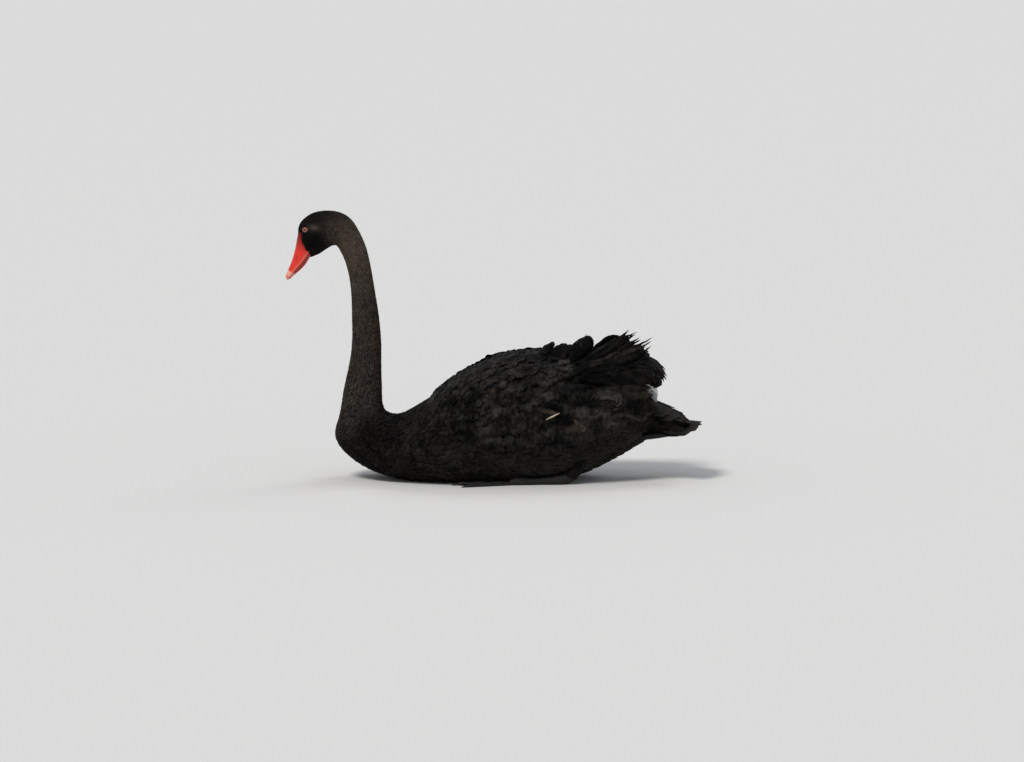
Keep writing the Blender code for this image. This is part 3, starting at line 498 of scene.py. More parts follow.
def bareness(points, soft=0.0008):
    """Share of bare red skin at points of the face: 1 on the lore, 0 where feathers grow."""
    u, v = in_bill_plane(points)
    edge = np.array(LORE_EDGE)[::-1]
    over_jaw = np.clip((v - LORE_EDGE[-1][1]) / soft + 0.5, 0, 1)
    return np.clip((u - np.interp(v, edge[:, 1], edge[:, 0])) / soft + 0.5, 0, 1) * over_jaw


def eye_centre(side):
    """Centre of an eyeball, set in so that it stands a little proud of the head, and its outward way."""
    along = np.linspace(station("temples"), station("bill base"), 60)
    angle = side * np.linspace(0.4, 2.0, 60)
    net = body_surface(along[:, None], angle[None, :])
    far = np.hypot(net[..., 0] - EYE_PLACE[0], net[..., 2] - EYE_PLACE[1])
    i, j = np.unravel_index(far.argmin(), far.shape)
    out = body_normal(along[i], angle[j])
    return net[i, j] + out * (EYE_OUT - EYE_RADIUS), out


def new_piece(name, points, faces, finish, maps=None, colours=None):
    """A smooth mesh object of triangles, which rides on the still body."""
    points = np.asarray(points, np.float32).reshape(-1, 3)
    faces = np.asarray(faces, np.int32)
    points[:, 2] = np.maximum(points[:, 2], 0)
    mesh = bpy.data.meshes.new(name)
    mesh.vertices.add(len(points))
    mesh.vertices.foreach_set("co", points.ravel())
    mesh.loops.add(faces.size)
    mesh.loops.foreach_set("vertex_index", faces.ravel())
    mesh.polygons.add(len(faces))
    mesh.polygons.foreach_set("loop_start", np.arange(0, faces.size, 3, dtype=np.int32))
    mesh.polygons.foreach_set("use_smooth", np.ones(len(faces), bool))
    mesh.update(calc_edges=True)
    for layer, places in (maps or {}).items():
        uv = np.asarray(places, np.float32).reshape(-1, 2)[faces.ravel()]
        mesh.uv_layers.new(name=layer).data.foreach_set("uv", uv.ravel())
    for layer, values in (colours or {}).items():
        made = mesh.attributes.new(layer, "FLOAT_COLOR", "POINT")
        made.data.foreach_set("color", np.asarray(values, np.float32).ravel())
    mesh.validate()
    mesh.materials.append(finish)
    piece = bpy.data.objects.new(name, mesh)
    bpy.context.scene.collection.objects.link(piece)
    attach(piece, "root")
    return piece


def sheet_faces(rows, columns, closed=False):
    """Triangles of a grid of points, row after row, whose columns may close into a ring."""
    i = np.arange(rows - 1)[:, None]
    j = np.arange(columns if closed else columns - 1)[None, :]
    k = (j + 1) % columns
    a, b = i * columns + j, i * columns + k
    c, d = (i + 1) * columns + k, (i + 1) * columns + j
    first = np.stack(np.broadcast_arrays(a, b, c), axis=-1).reshape(-1, 3)
    second = np.stack(np.broadcast_arrays(a, c, d), axis=-1).reshape(-1, 3)
    return np.concatenate([first, second])


def tube(rings):
    """Points and triangles of a closed body through rings of points, with its ends filled."""
    rings = np.asarray(rings, float)
    rows, around = rings.shape[:2]
    points = np.concatenate([rings.reshape(-1, 3), [rings[0].mean(axis=0), rings[-1].mean(axis=0)]])
    j = np.arange(around)
    k = (j + 1) % around
    start, end = rows * around, rows * around + 1
    last = (rows - 1) * around
    ends = [np.stack([k, j, np.full(around, start)], 1), np.stack([last + j, last + k, np.full(around, end)], 1)]
    faces = np.concatenate([sheet_faces(rows, around, closed=True)] + ends)
    corners = points[faces]
    room = np.einsum("ij,ij->i", corners[:, 0], np.cross(corners[:, 1], corners[:, 2])).sum()
    return points, faces if room > 0 else faces[:, ::-1]


def joined(bodies):
    """Several (points, faces) as one."""
    points, faces, count = [], [], 0
    for places, corners in bodies:
        points.append(places)
        faces.append(corners + count)
        count += len(places)
    return np.concatenate(points), np.concatenate(faces)


# A shape is a feather in its own measure: share of its length s, of its half width t, height h in
# thicknesses, the triangles, and the shade of each barb.
def outline(share, blunt=0.35):
    """Half width of a vane along its length, as a share of its greatest."""
    start = np.clip(share / 0.3, 0, 1) ** 0.6 * 0.55 + 0.45 * np.clip(share / 0.55, 0, 1)
    end = np.sqrt(np.maximum(1 - (1 - blunt**2) * np.clip((share - 0.55) / 0.45, 0, 1) ** 2, 0))
    return start * end


def blade(places, widths, heights, shade, thick=1.0):
    """A closed sliver along places in (s, t): a diamond in section, drawn out to a point."""
    places = np.asarray(places, float)
    ahead = unit(np.gradient(places, axis=0))
    aside = np.stack([-ahead[:, 1], ahead[:, 0]], axis=1)
    body = places[:-1]
    left = body + aside[:-1] * np.asarray(widths)[:, None] / 2
    right = body - aside[:-1] * np.asarray(widths)[:, None] / 2
    low = np.asarray(heights)[:-1]
    rings = np.stack([left, body, right, body], axis=1)
    lift = np.stack([low, low + 0.5 * thick, low, low - 0.4 * thick], axis=1)
    rows = len(body)
    flat = np.concatenate([rings.reshape(-1, 2), places[-1:], places[:1]])
    high = np.concatenate([lift.ravel(), [heights[-1]], [low[0]]])
    j = np.arange(4)
    k = (j + 1) % 4
    tip = np.stack([(rows - 1) * 4 + j, (rows - 1) * 4 + k, np.full(4, rows * 4)], 1)
    root = np.stack([k, j, np.full(4, rows * 4 + 1)], 1)
    faces = np.concatenate([sheet_faces(rows, 4, closed=True), tip, root])
    return {"s": flat[:, 0], "t": flat[:, 1], "h": high, "faces": faces, "shade": np.full(len(high), shade)}


def merged(parts, aspect=1.0):
    """One shape from several, whose lengths were measured in half widths."""
    faces, count = [], 0
    for part in parts:
        faces.append(part["faces"] + count)
        count += len(part["s"])
    shape = {key: np.concatenate([part[key] for part in parts]) for key in ("s", "t", "h", "shade")}
    shape["s"] = shape["s"] / aspect
    shape["faces"] = np.concatenate(faces)
    return shape


def small_feather(blunt=0.35, shares=(0.20, 0.52, 0.80, 0.94), thick=1.0):
    """A small feather as one thin closed leaf."""
    shares = np.array(shares)
    places = np.stack([np.append(shares, 1.0), np.zeros(len(shares) + 1)], axis=1)
    shape = blade(places, 2 * outline(shares, blunt), np.zeros(len(shares) + 1), 0.5, thick)
    shape["s"][-1] = 0.0
    return shape


def vane_edge(share, round_end=2.4):
    """Half width of a large feather along its length, as a share of its greatest; its end is round."""
    start = np.clip(share / 0.25, 0, 1) ** 0.6 * 0.6 + 0.4 * np.clip(share / 0.5, 0, 1)
    return start * (1 - np.clip((share - 0.45) / 0.55, 0, 1) ** round_end) ** (1 / round_end)


def vaned_feather(draw, rows, aspect, round_end=2.4, rough=0.02, splits=0.05, sweep=0.16, relief=0.3, hairs=0):
    """A large feather as one thin closed leaf, whose rows run out and forward from the quill as barbs
    do. rough frays its edges, splits is how often they part, relief is how much the rows stand out,
    hairs is the number of loose barbs at the tip. aspect is its length over its half width."""
    across = np.array([-1.0, -0.62, -0.08, 0.0, 0.08, 0.62, 1.0])
    share = 1 - (1 - np.linspace(0.03, 1, rows)) ** 1.5
    middle = share - sweep * np.sin(math.pi * share) ** 0.8 * np.minimum(1, share / 0.2)
    fray = 1 + rough * draw.normal(0, 1, (2, rows)) * np.clip(share * 2 - 0.3, 0, 1)
    parted = draw.uniform(0, 1, (2, rows)) < splits
    reach = vane_edge(share, round_end) * fray * np.where(parted & (share > 0.3), 0.70, 1.0)
    stand = relief * draw.uniform(-0.5, 0.5, (2, rows))
    left, right = np.maximum(reach, 0.02)
    wide = np.where(across[None] < 0, left[:, None], right[:, None]) * across[None]
    ahead = middle[:, None] + (share - middle)[:, None] * np.abs(across[None]) ** 1.1
    rise = np.where(across[None] < 0, stand[0][:, None], stand[1][:, None]) * np.abs(across[None])
    over = 0.5 * (1 - np.abs(across[None]) ** 1.5) + rise + 0.35 * (across[None] == 0)
    ring = np.concatenate([wide, 0 * share[:, None]], axis=1)
    long = np.concatenate([ahead, middle[:, None]], axis=1) * aspect
    high = np.concatenate([over, np.full((rows, 1), -0.45)], axis=1)
    around = len(across) + 1
    k = np.arange(1, around - 1)
    start = np.stack([0 * k, k + 1, k], axis=1)
    faces = np.concatenate([sheet_faces(rows, around, closed=True), start, (rows - 1) * around + start[:, ::-1]])
    shade = np.repeat(draw.uniform(0, 1, rows), around)
    leaf = {"s": long.ravel(), "t": ring.ravel(), "h": high.ravel(), "faces": faces[:, ::-1], "shade": shade}
    parts = [leaf]
    for _ in range(hairs):
        root, side = draw.uniform(0.60, 0.90), draw.uniform(-0.9, 0.9)
        tip = root + draw.uniform(0.08, 0.14)
        wander = side * float(vane_edge(root, round_end)) * np.array([0.80, 1.0, 1.08, draw.uniform(0.8, 1.2)])
        places = np.stack([np.linspace(root, tip, 4) * aspect, wander], axis=1)
        lift = np.array([0.0, 0.4, 0.8, 1.0]) * draw.uniform(-0.5, 2.0)
        parts.append(blade(places, (0.08, 0.10, 0.06), lift, draw.uniform(0, 1), 0.5))
    return merged(parts, aspect)


def lay(paths, faces_up, half, shape, cup, thick, crimp=0.0, waves=2.5):
    """A shape laid along each path. paths and faces_up hold points and outward directions, row by
    row; half is half the width, cup the bow across it as a share of that, thick its thickness.
    crimp is how far its edges ripple, as a share of half, in a number of waves."""
    ahead = np.gradient(paths, axis=1)
    across = unit(np.cross(ahead, faces_up))
    up = unit(np.cross(across, ahead))
    rows = paths.shape[1]
    place = shape["s"] * (rows - 1)
    i = np.clip(place.astype(int), 0, rows - 2)
    f = (place - i)[:, None]

    def at(values):
        return values[:, i] * (1 - f) + values[:, i + 1] * f

    t = shape["t"]
    half = np.broadcast_to(np.asarray(half, float), len(paths))[:, None]
    cup = np.broadcast_to(np.asarray(cup, float), len(paths))[:, None]
    thick = np.broadcast_to(np.asarray(thick, float), len(paths))[:, None]
    over = thick * shape["h"] - cup * half * t**2
    if crimp:
        phase = np.arange(len(paths))[:, None] * 2.4
        ripple = np.sin(shape["s"] * waves * 2 * math.pi + phase + (t > 0) * 1.7)
        over = over + crimp * half * ripple * np.abs(t) ** 1.5 * np.clip(shape["s"] * 3, 0, 1)
    return at(paths) + at(across) * (half * t)[..., None] + at(up) * over[..., None]


class Coat:
    """Feathers gathered for one piece."""

    def __init__(self):
        self.points, self.faces, self.vane, self.bake, self.look = [], [], [], [], []
        self.count = 0

    def add(self, points, shape, tone, marks, roots):
        """Feathers of one shape, with the tone, the two markings and the place of the root of each. The
        tone and the markings may also be given point by point."""
        number, each = points.shape[:2]
        tone, marks = np.asarray(tone, float), np.asarray(marks, float)
        start = self.count + np.arange(number)[:, None, None] * each
        self.points.append(points.reshape(-1, 3))
        self.faces.append((shape["faces"][None] + start).reshape(-1, 3))
        across, ahead = shape["t"] / 2, shape["s"]
        self.vane.append(np.tile(np.stack([across + 0.5, ahead], 1), (number, 1)))
        patch = np.stack([across, ahead - 0.5], 1) * 0.003
        self.bake.append((np.asarray(roots)[:, None, :] + patch[None]).reshape(-1, 2))
        look = np.ones((number, each, 4))
        look[..., 0] = tone if tone.ndim == 2 else tone[:, None]
        look[..., 1:3] = marks if marks.ndim == 3 else marks[:, None, :]
        look[..., 3] = shape["shade"]
        self.look.append(look.reshape(-1, 4))
        self.count += number * each

    def piece(self, name, finish, slot):
        """The coat as one object."""
        return new_piece(
            name,
            np.concatenate(self.points),
            np.concatenate(self.faces),
            finish,
            maps={"OFBake": np.concatenate(self.bake), "vane": np.concatenate(self.vane)},
            colours={"look": np.concatenate(self.look)},
        )


def evenly(count, start=0.0):
    """Pairs of numbers from 0 to 1, spread evenly over a square."""
    i = np.arange(count) + start
    return (i * 0.7548776662466927) % 1, (i * 0.5698402909980532) % 1


def spread(count, start, end, density, draw):
    """Roots spread evenly over a stretch of the body, closer where density is larger."""
    along = np.linspace(start, end, 201)
    angle = np.linspace(-math.pi, math.pi, 145)
    net = body_surface(along[:, None], angle[None, :])
    sides = net[1:, :-1] - net[:-1, :-1], net[:-1, 1:] - net[:-1, :-1]
    room = np.linalg.norm(np.cross(*sides), axis=-1)
    middle = (net[1:, 1:] + net[:-1, :-1]) / 2
    mid_along = (along[1:] + along[:-1])[:, None] / 2 + 0 * room
    mid_angle = (angle[1:] + angle[:-1])[None, :] / 2 + 0 * room
    weight = room * density(middle, mid_along, mid_angle)
    by_row = np.concatenate([[0], np.cumsum(weight.sum(axis=1))])
    u, v = evenly(count, draw.uniform(0, 1))
    row = np.interp(u, by_row / by_row[-1], np.arange(len(by_row)))
    k = np.clip(row.astype(int), 0, len(weight) - 1)
    across = np.concatenate([np.zeros((len(weight), 1)), np.cumsum(weight, axis=1)], axis=1)
    across /= np.maximum(across[:, -1:], 1e-12)
    j = np.clip((across[k] < v[:, None]).sum(axis=1) - 1, 0, weight.shape[1] - 1)
    low, high = across[k, j], across[k, j + 1]
    column = j + (v - low) / np.maximum(high - low, 1e-12)
    return start + row * (along[1] - along[0]), -math.pi + column * (angle[1] - angle[0])


def coat_paths(along, angle, length, turn, depth, lift, rows):
    """Paths and outward directions of feathers that lie back along the body from their roots. They
    start depth under the surface, and their tips rise to lift over it."""
    step = 0.002
    stretch = np.linalg.norm(body_surface(along + step, angle) - body_surface(along - step, angle), axis=-1)
    girth = np.linalg.norm(body_surface(along, angle + 0.02) - body_surface(along, angle - 0.02), axis=-1)
    share = np.linspace(0, 1, rows)[None, :]
    reach = (length * np.cos(turn) / np.maximum(stretch / (2 * step), 0.25))[:, None] * share
    swing = (length * np.sin(turn) / np.maximum(girth / 0.04, 0.004))[:, None] * share
    places, turned = along[:, None] - reach, angle[:, None] + swing
    inside = np.clip(places, 0, ALONG[-1])
    points = body_surface(inside, turned)
    beyond = np.minimum(places, 0)[..., None]
    points = points - beyond * unit(body_surface(inside * 0, turned) - body_surface(inside * 0 + 0.01, turned))
    out = body_normal(inside, turned)
    rise = -depth[:, None] * (1 - share) ** 1.5 + lift[:, None] * share**1.5
    points = points + out * rise[..., None]
    points[..., 2] = np.maximum(points[..., 2], FLOOR_CLEAR)
    return points, out


def spot(points, x, z, wide, tall):
    """A soft spot, seen from the side, from 1 at its middle to 0."""
    return np.exp(-(((points[..., 0] - x) / wide) ** 2) - ((points[..., 2] - z) / tall) ** 2)


def markings(points, along):
    """Darkness, grey-brown and bare red at points of the skin or the coat, from 0 to 1. The grey-brown also carries a
    painted highlight behind the eye.
    """
    grey = by_station(GREY_BROWN, along)
    ahead = np.clip((points[..., 0] + 0.312) / 0.018, 0, 1)
    on_head = np.clip((np.asarray(along) - station("nape")) / 0.02, 0, 1)
    high = np.clip((points[..., 2] - 0.464) / 0.012, 0, 1)
    grey = grey * (1 - on_head * (1 - ahead) * 0.85) * (1 - on_head * high * 0.6)
    # A painted highlight behind the eye, laid on as paler grey-brown.
    grey = np.clip(grey + 0.9 * on_head * spot(points, -0.3195, 0.4535, 0.010, 0.007), 0, 1)
    mask = on_head * np.clip(1.3 * spot(points, -0.3225, 0.428, 0.018, 0.017), 0, 1)
    bare = bareness(points) * (np.asarray(along) > station("crown"))
    return np.stack([mask, grey * (1 - mask), bare], axis=-1)


def tone_and_painted_light(points):
    """Paler and darker places among the feathers of the wings and the ruffle, as seen from the side: partly their own
    tone, partly painted light and painted shadow.
    """
    light = np.zeros(points.shape[:-1])
    for x, z, wide, tall, much in SIDE_TONE_AND_PAINTED_LIGHT:
        light += much * spot(points, x, z, wide, tall)
    return light


def tinge(points, side):
    """Share of tan in the feathers of the wings."""
    tan = np.zeros(points.shape[:-1])
    for x, z, wide, tall, much in TAN_SPOTS[side]:
        tan += much * spot(points, x, z, wide, tall)
    return np.clip(tan, 0, 1)


def lit(points, side, tone, tan, much=1.0):
    """Tone and markings, point by point, of feathers on the wings: the tone of each feather with the paler and darker
    places of its side, which are partly painted light and shade, and its share of the tan ones."""
    spots = tinge(points, side) * np.asarray(tan)[:, None]
    return np.asarray(tone)[:, None] + much * tone_and_painted_light(points), np.stack([0 * spots, spots], axis=-1)


class Finish:
    """A material, built node by node."""

    def __init__(self, name, **sockets):
        self.material = bpy.data.materials.new(name)
        self.material.use_nodes = True
        self.tree = self.material.node_tree
        self.shader = self.tree.nodes["Principled BSDF"]
        for socket, value in sockets.items():
            self.shader.inputs[socket.replace("_", " ")].default_value = value

    def node(self, kind, **settings):
        made = self.tree.nodes.new(kind)
        for key, value in settings.items():
            setattr(made, key, value)
        return made

    def put(self, value, socket):
        """Links a socket, or sets a plain value."""
        if isinstance(value, bpy.types.NodeSocket):
            self.tree.links.new(value, socket)
        elif isinstance(value, tuple):
            socket.default_value = (*value, 1)[:4]
        else:
            socket.default_value = value

    def math(self, operation, *values, clamp=False):
        made = self.node("ShaderNodeMath", operation=operation, use_clamp=clamp)
        for value, socket in zip(values, made.inputs):
            self.put(value, socket)
        return made.outputs[0]

    def between(self, value, low, high, start=0.0, end=1.0):
        """A value between low and high, spread smoothly from start to end."""
        made = self.node("ShaderNodeMapRange", interpolation_type="SMOOTHSTEP")
        for number, socket in zip((value, low, high, start, end), made.inputs):
            self.put(number, socket)
        return made.outputs[0]

    def mix(self, share, a, b, blend="MIX"):
        made = self.node("ShaderNodeMix", data_type="RGBA", blend_type=blend)
        self.put(share, made.inputs[0])
        self.put(a, made.inputs[6])
        self.put(b, made.inputs[7])
        return made.outputs[2]

    def noise(self, scale, detail=2.0, stretch=(1, 1, 1), place=None):
        """A noise pattern, in metres on the object, or over a given place."""
        made = self.node("ShaderNodeTexNoise")
        mapping = self.node("ShaderNodeMapping")
        mapping.inputs["Scale"].default_value = stretch
        source = place or self.node("ShaderNodeTexCoord").outputs["Object"]
        self.tree.links.new(source, mapping.inputs[0])
        self.tree.links.new(mapping.outputs[0], made.inputs["Vector"])
        made.inputs["Scale"].default_value = scale
        made.inputs["Detail"].default_value = detail
        return made.outputs[0]

    def look(self):
        """The look stored on the points: its red, green, blue and alpha."""
        made = self.node("ShaderNodeAttribute", attribute_name="look")
        parts = self.node("ShaderNodeSeparateColor")
        self.tree.links.new(made.outputs["Color"], parts.inputs[0])
        return [*parts.outputs[:3], made.outputs["Alpha"]]

    def vane(self):
        """Where a point lies on its feather: away from the quill and along it."""
        parts = self.node("ShaderNodeSeparateXYZ")
        self.tree.links.new(self.node("ShaderNodeUVMap", uv_map="vane").outputs[0], parts.inputs[0])
        away = self.math("MULTIPLY", self.math("ABSOLUTE", self.math("SUBTRACT", parts.outputs[0], 0.5)), 2.0)
        return away, parts.outputs[1]

    def bump(self, height, strength, distance):
        made = self.node("ShaderNodeBump")
        made.inputs["Strength"].default_value = strength
        made.inputs["Distance"].default_value = distance
        self.tree.links.new(height, made.inputs["Height"])
        self.tree.links.new(made.outputs[0], self.shader.inputs["Normal"])

    def colour(self, value):
        self.put(value, self.shader.inputs["Base Color"])


def plumage_finish(
    name, colours, roughness, barbs=60.0, rim=0.5, streak=0.3, sheen=0.02, mark=None, tips=0.0,
    gloss=0.04, hair=0.0, patchy=1.0, folds=0.0, contrast=1.0,
):
    """Feathers: dark barbs with a paler rim, toned feather by feather, with the bird's markings. mark
    is the colour of the third marking, tips how brown the ends of the feathers are, hair and folds how
    strong the fine and the coarse upright streaks are, patchy how strong the soft patches, and contrast
    a power that draws light and dark apart."""
    made = Finish(name, Roughness=roughness, Specular_IOR_Level=gloss, Sheen_Weight=sheen, Sheen_Roughness=0.5)
    tone, grey, bare, shade = made.look()
    away, ahead = made.vane()
    slant = made.math("SUBTRACT", ahead, made.math("MULTIPLY", away, 0.25))
    lines = made.math("SINE", made.math("MULTIPLY", slant, barbs))
    edge = made.math("MAXIMUM", made.between(away, 0.78, 0.98), made.between(ahead, 0.86, 0.98))
    blotch = made.between(made.noise(44.0, 4.0), 0.34, 0.68, -0.40 * patchy, 0.50 * patchy)
    light = made.math("ADD", made.math("MULTIPLY", tone, 1.3), made.math("MULTIPLY", shade, streak))
    light = made.math("ADD", light, made.math("MULTIPLY", made.noise(900.0), 0.5))
    light = made.math("ADD", light, made.math("ADD", blotch, made.math("MULTIPLY", lines, 0.14)))
    light = made.math("MAXIMUM", made.math("ADD", light, made.math("MULTIPLY", edge, rim)), 0.12)
    if hair:
        strands = made.noise(620.0, 2.0, (1, 1, 0.10))
        light = made.math("ADD", light, made.between(strands, 0.30, 0.70, -hair, hair))
    if folds:
        creases = made.noise(150.0, 3.0, (1, 1, 0.45))
        light = made.math("ADD", light, made.between(creases, 0.36, 0.64, -folds, folds))
    light = made.math("POWER", made.math("MAXIMUM", light, 0.1), contrast)
    light = made.math("MULTIPLY", light, made.between(ahead, 0.0, 0.45, 0.6, 1.0))
    dark = tuple(colours.plumage)
    if tips:
        share = made.math("MULTIPLY", made.between(ahead, 0.45, 1.0), made.between(made.noise(26.0, 2.0), 0.40, 0.62))
        dark = made.mix(made.math("MULTIPLY", share, tips), dark, tuple(colours.worn))
    toned = made.node("ShaderNodeVectorMath", operation="SCALE")
    made.put(made.mix(grey, dark, tuple(colours.neck)), toned.inputs[0])
    made.put(light, toned.inputs["Scale"])
    marked = tuple(mark or colours.lore)
    if mark:
        bare = made.math("MULTIPLY", bare, made.between(made.noise(100.0, 3.0), 0.36, 0.60, 0.25, 1.0))
    made.colour(made.mix(bare, toned.outputs[0], marked))
    made.bump(lines, 0.40, 0.0003 if barbs < 300 else 0.00012)
    return made.material


def white_finish(name, white):
    """White feathers: faint barbs, darker towards the root."""
    made = Finish(name, Roughness=0.6, Specular_IOR_Level=0.15)
    tone, _, _, shade = made.look()
    away, ahead = made.vane()
    light = made.math("ADD", made.math("MULTIPLY", tone, 0.25), made.math("MULTIPLY", shade, 0.15))
    light = made.math("ADD", light, made.between(ahead, 0.1, 0.8, 0.35, 0.7))
    toned = made.node("ShaderNodeVectorMath", operation="SCALE")
    toned.inputs[0].default_value = tuple(white)
    made.put(light, toned.inputs["Scale"])
    made.colour(toned.outputs[0])
    made.bump(made.math("SINE", made.math("MULTIPLY", ahead, 140.0)), 0.2, 0.0002)
    return made.material


def bill_finish(colours):
    """Horn of the bill: red, with a pale band near the tip and a paler edge along the mouth."""
    made = Finish("bill_horn", Roughness=0.42, Specular_IOR_Level=0.35, Coat_Weight=0.1, Coat_Roughness=0.25)
    band, lip, dark, fore = made.look()
    mottle = made.noise(260.0, 4.0)
    red = made.mix(made.between(mottle, 0.35, 0.7), tuple(colours.bill), (0.70, 0.034, 0.020))
    red = made.mix(fore, tuple(colours.lore), red)
    red = made.mix(made.math("MULTIPLY", lip, 0.75), red, tuple(colours.lip))
    red = made.mix(band, red, made.mix(made.noise(300.0, 3.0), tuple(colours.band), tuple(colours.lip)))
    # The third channel darkens the nostrils: painted shade inside their openings.
    made.colour(made.mix(dark, red, (0.16, 0.008, 0.006)))
    grain = made.math("ADD", made.noise(1400.0, 3.0), made.math("MULTIPLY", made.noise(420.0, 2.0), 1.5))
    made.bump(grain, 0.18, 0.0003)
    return made.material


def lid_finish(colours):
    """Bare pink skin round the eye."""
    made = Finish("eyelid_skin", Roughness=0.5, Specular_IOR_Level=0.4, Subsurface_Weight=0.1)
    made.colour(made.mix(made.between(made.noise(700.0, 3.0), 0.35, 0.65), tuple(colours.lid), (0.34, 0.11, 0.08)))
    made.bump(made.noise(2200.0, 2.0), 0.3, 0.0002)
    return made.material


def eye_finish(colours):
    """The eyeball: black pupil, red iris with fine rays and a dark rim."""
    made = Finish("eye_ball", Roughness=0.08, Specular_IOR_Level=0.4, Coat_Weight=0.2, Coat_Roughness=0.02)
    away, turn, _, _ = made.look()
    rays = made.math("SINE", made.math("MULTIPLY", turn, 260.0))
    iris = made.mix(made.between(rays, -1.0, 1.0), tuple(colours.iris), (0.30, 0.015, 0.008))
    iris = made.mix(made.between(away, 0.50, 0.62), iris, (0.03, 0.004, 0.003))
    made.colour(made.mix(made.between(away, 0.29, 0.32), (0.003, 0.003, 0.003), iris))
    return made.material


def leg_finish(colours):
    """Black scaly skin of the legs and webs."""
    made = Finish("leg_skin", Roughness=0.55, Specular_IOR_Level=0.25)
    scutes = made.node("ShaderNodeTexVoronoi", feature="DISTANCE_TO_EDGE")
    scutes.inputs["Scale"].default_value = 420.0
    made.tree.links.new(made.node("ShaderNodeTexCoord").outputs["Object"], scutes.inputs["Vector"])
    seam = made.between(scutes.outputs["Distance"], 0.0, 0.12)
    skin = made.mix(made.noise(60.0, 3.0), tuple(colours.leg), (0.026, 0.024, 0.023))
    made.colour(made.mix(seam, (0.004, 0.004, 0.004), skin))
    made.bump(seam, 0.5, 0.0004)
    return made.material


def floor_finish(colours):
    """A pale, matt floor."""
    made = Finish("studio_floor", Roughness=0.9, Specular_IOR_Level=0.1)
    made.shader.inputs["Base Color"].default_value = (*colours.floor, 1)
    return made.material


def colour(name, description, default):
    return bpy.props.FloatVectorProperty(
        name=name, description=description, default=default, subtype="COLOR", size=3, min=0, max=1
    )


def metres(name, description, default):
    return bpy.props.FloatProperty(
        name=name, description=description, default=default, subtype="DISTANCE", unit="LENGTH", min=0, precision=4
    )


class SwanColours(bpy.types.PropertyGroup):
    """Colours of the swan and of the stage"""

    plumage: colour("Plumage", "Black feathers of the body and wings", (0.0098, 0.0094, 0.0085))
    neck: colour("Neck", "Grey-brown feathers of the neck", (0.0640, 0.0500, 0.0375))
    worn: colour("Worn tips", "Brown tips of worn feathers", (0.0210, 0.0145, 0.0112))
    tan: colour("Tan", "Tan spots among the wing's feathers", (0.066, 0.047, 0.033))
    # The primaries' white is greyed as painted shade, for they lie under the plumes over them.
    primaries: colour("Primaries", "White flight feathers", (0.52, 0.53, 0.54))
    quill: colour("Quill", "Bare quill on the near wing", (0.62, 0.53, 0.40))
    bill: colour("Bill", "Red horn and bare skin", (0.78, 0.030, 0.018))
    lore: colour("Lore", "Darker red skin before the eye", (0.21, 0.010, 0.009))
    lip: colour("Mouth edge", "Paler edge along the mouth", (0.86, 0.32, 0.20))
    band: colour("Bill band", "Pale band near the tip of the bill", (0.90, 0.62, 0.55))
    lid: colour("Eyelid", "Bare skin round the eye", (0.54, 0.26, 0.21))
    iris: colour("Iris", "Red of the eye", (0.34, 0.030, 0.014))
    leg: colour("Legs", "Black skin of the legs and webs", (0.012, 0.0115, 0.011))
    floor: colour("Floor", "Pale floor of the studio", (0.80, 0.80, 0.79))


class SwanSizes(bpy.types.PropertyGroup):
    """Sizes and numbers of the feathers"""

    body_feathers: bpy.props.IntProperty(
        name="Body feathers", description="Number of small feathers on the trunk", default=5600, min=100
    )
    breast_feathers: bpy.props.IntProperty(
        name="Breast feathers", description="Number of small feathers on the breast", default=5600, min=100
    )
    neck_feathers: bpy.props.IntProperty(
        name="Neck feathers", description="Number of small feathers on the neck", default=10500, min=100
    )
    head_feathers: bpy.props.IntProperty(
        name="Head feathers", description="Number of tiny feathers on the head", default=9500, min=100
    )
    mantle_feathers: bpy.props.IntProperty(
        name="Mantle feathers", description="Number of feathers between the wings", default=260, min=10
    )
    covert: metres("Covert", "Length of a covert in the middle of the wing", 0.058)
    secondary: metres("Secondary", "Length of the long feathers at the wing's rear", 0.150)
    plume: metres("Plume width", "Width added to each curled plume", 0.0)
    plumes_each: bpy.props.IntProperty(
        name="Plumes", description="Narrow feathers in each curled plume of the rump", default=7, min=1
    )


def look_of(context):
    """The swan's sizes and colours."""
    return context.scene.swan_sizes, context.scene.swan_colours


# Length of the small feathers along the body.
FEATHER_LENGTHS = {
    "tail root": 0.030, "hips": 0.031, "shoulders": 0.027, "crop": 0.021, "breast": 0.018,
    "breast front": 0.0150, "neck root": 0.0130, "neck base": 0.0115, "lower neck": 0.0100,
    "middle neck": 0.0088, "neck top": 0.0078, "nape": 0.0070, "back of skull": 0.0058, "crown": 0.0045,
    "temples": 0.0036, "brow": 0.0030, "bill base": 0.0024,
}


# How much paler the small feathers are on each length of the body.
PALE = {
    "tail root": 0.45, "hips": 0.35, "shoulders": 0.05, "crop": -0.45, "breast": -0.70, "neck root": 0.25,
    "neck base": 0.35, "middle neck": 0.10, "upper neck": 0.05, "neck top": 0.35, "nape": 0.45, "crown": 0.1,
    "temples": 0.0, "bill base": 0.0,
}
# Share of dark feathers along the neck.
NECK_FRECKLES = {"neck root": 0.16, "neck base": 0.20, "middle neck": 0.14, "upper neck": 0.07, "neck top": 0.03}


def wing_covers(points, angle, inner):
    """True where the folded wing hides the body, at least inner degrees inside its edges."""
    back = (points[..., 0] - WING_FRONT) / (WING_REAR - WING_FRONT)
    degrees = np.abs(np.degrees(angle))
    high = np.interp(back, WING_SHARES, WING_UPPER_EDGE) + inner
    low = np.interp(back, WING_SHARES, WING_LOWER_EDGE) - inner
    return (back > 0.05) & (back < 0.98) & (degrees > high) & (degrees < low)


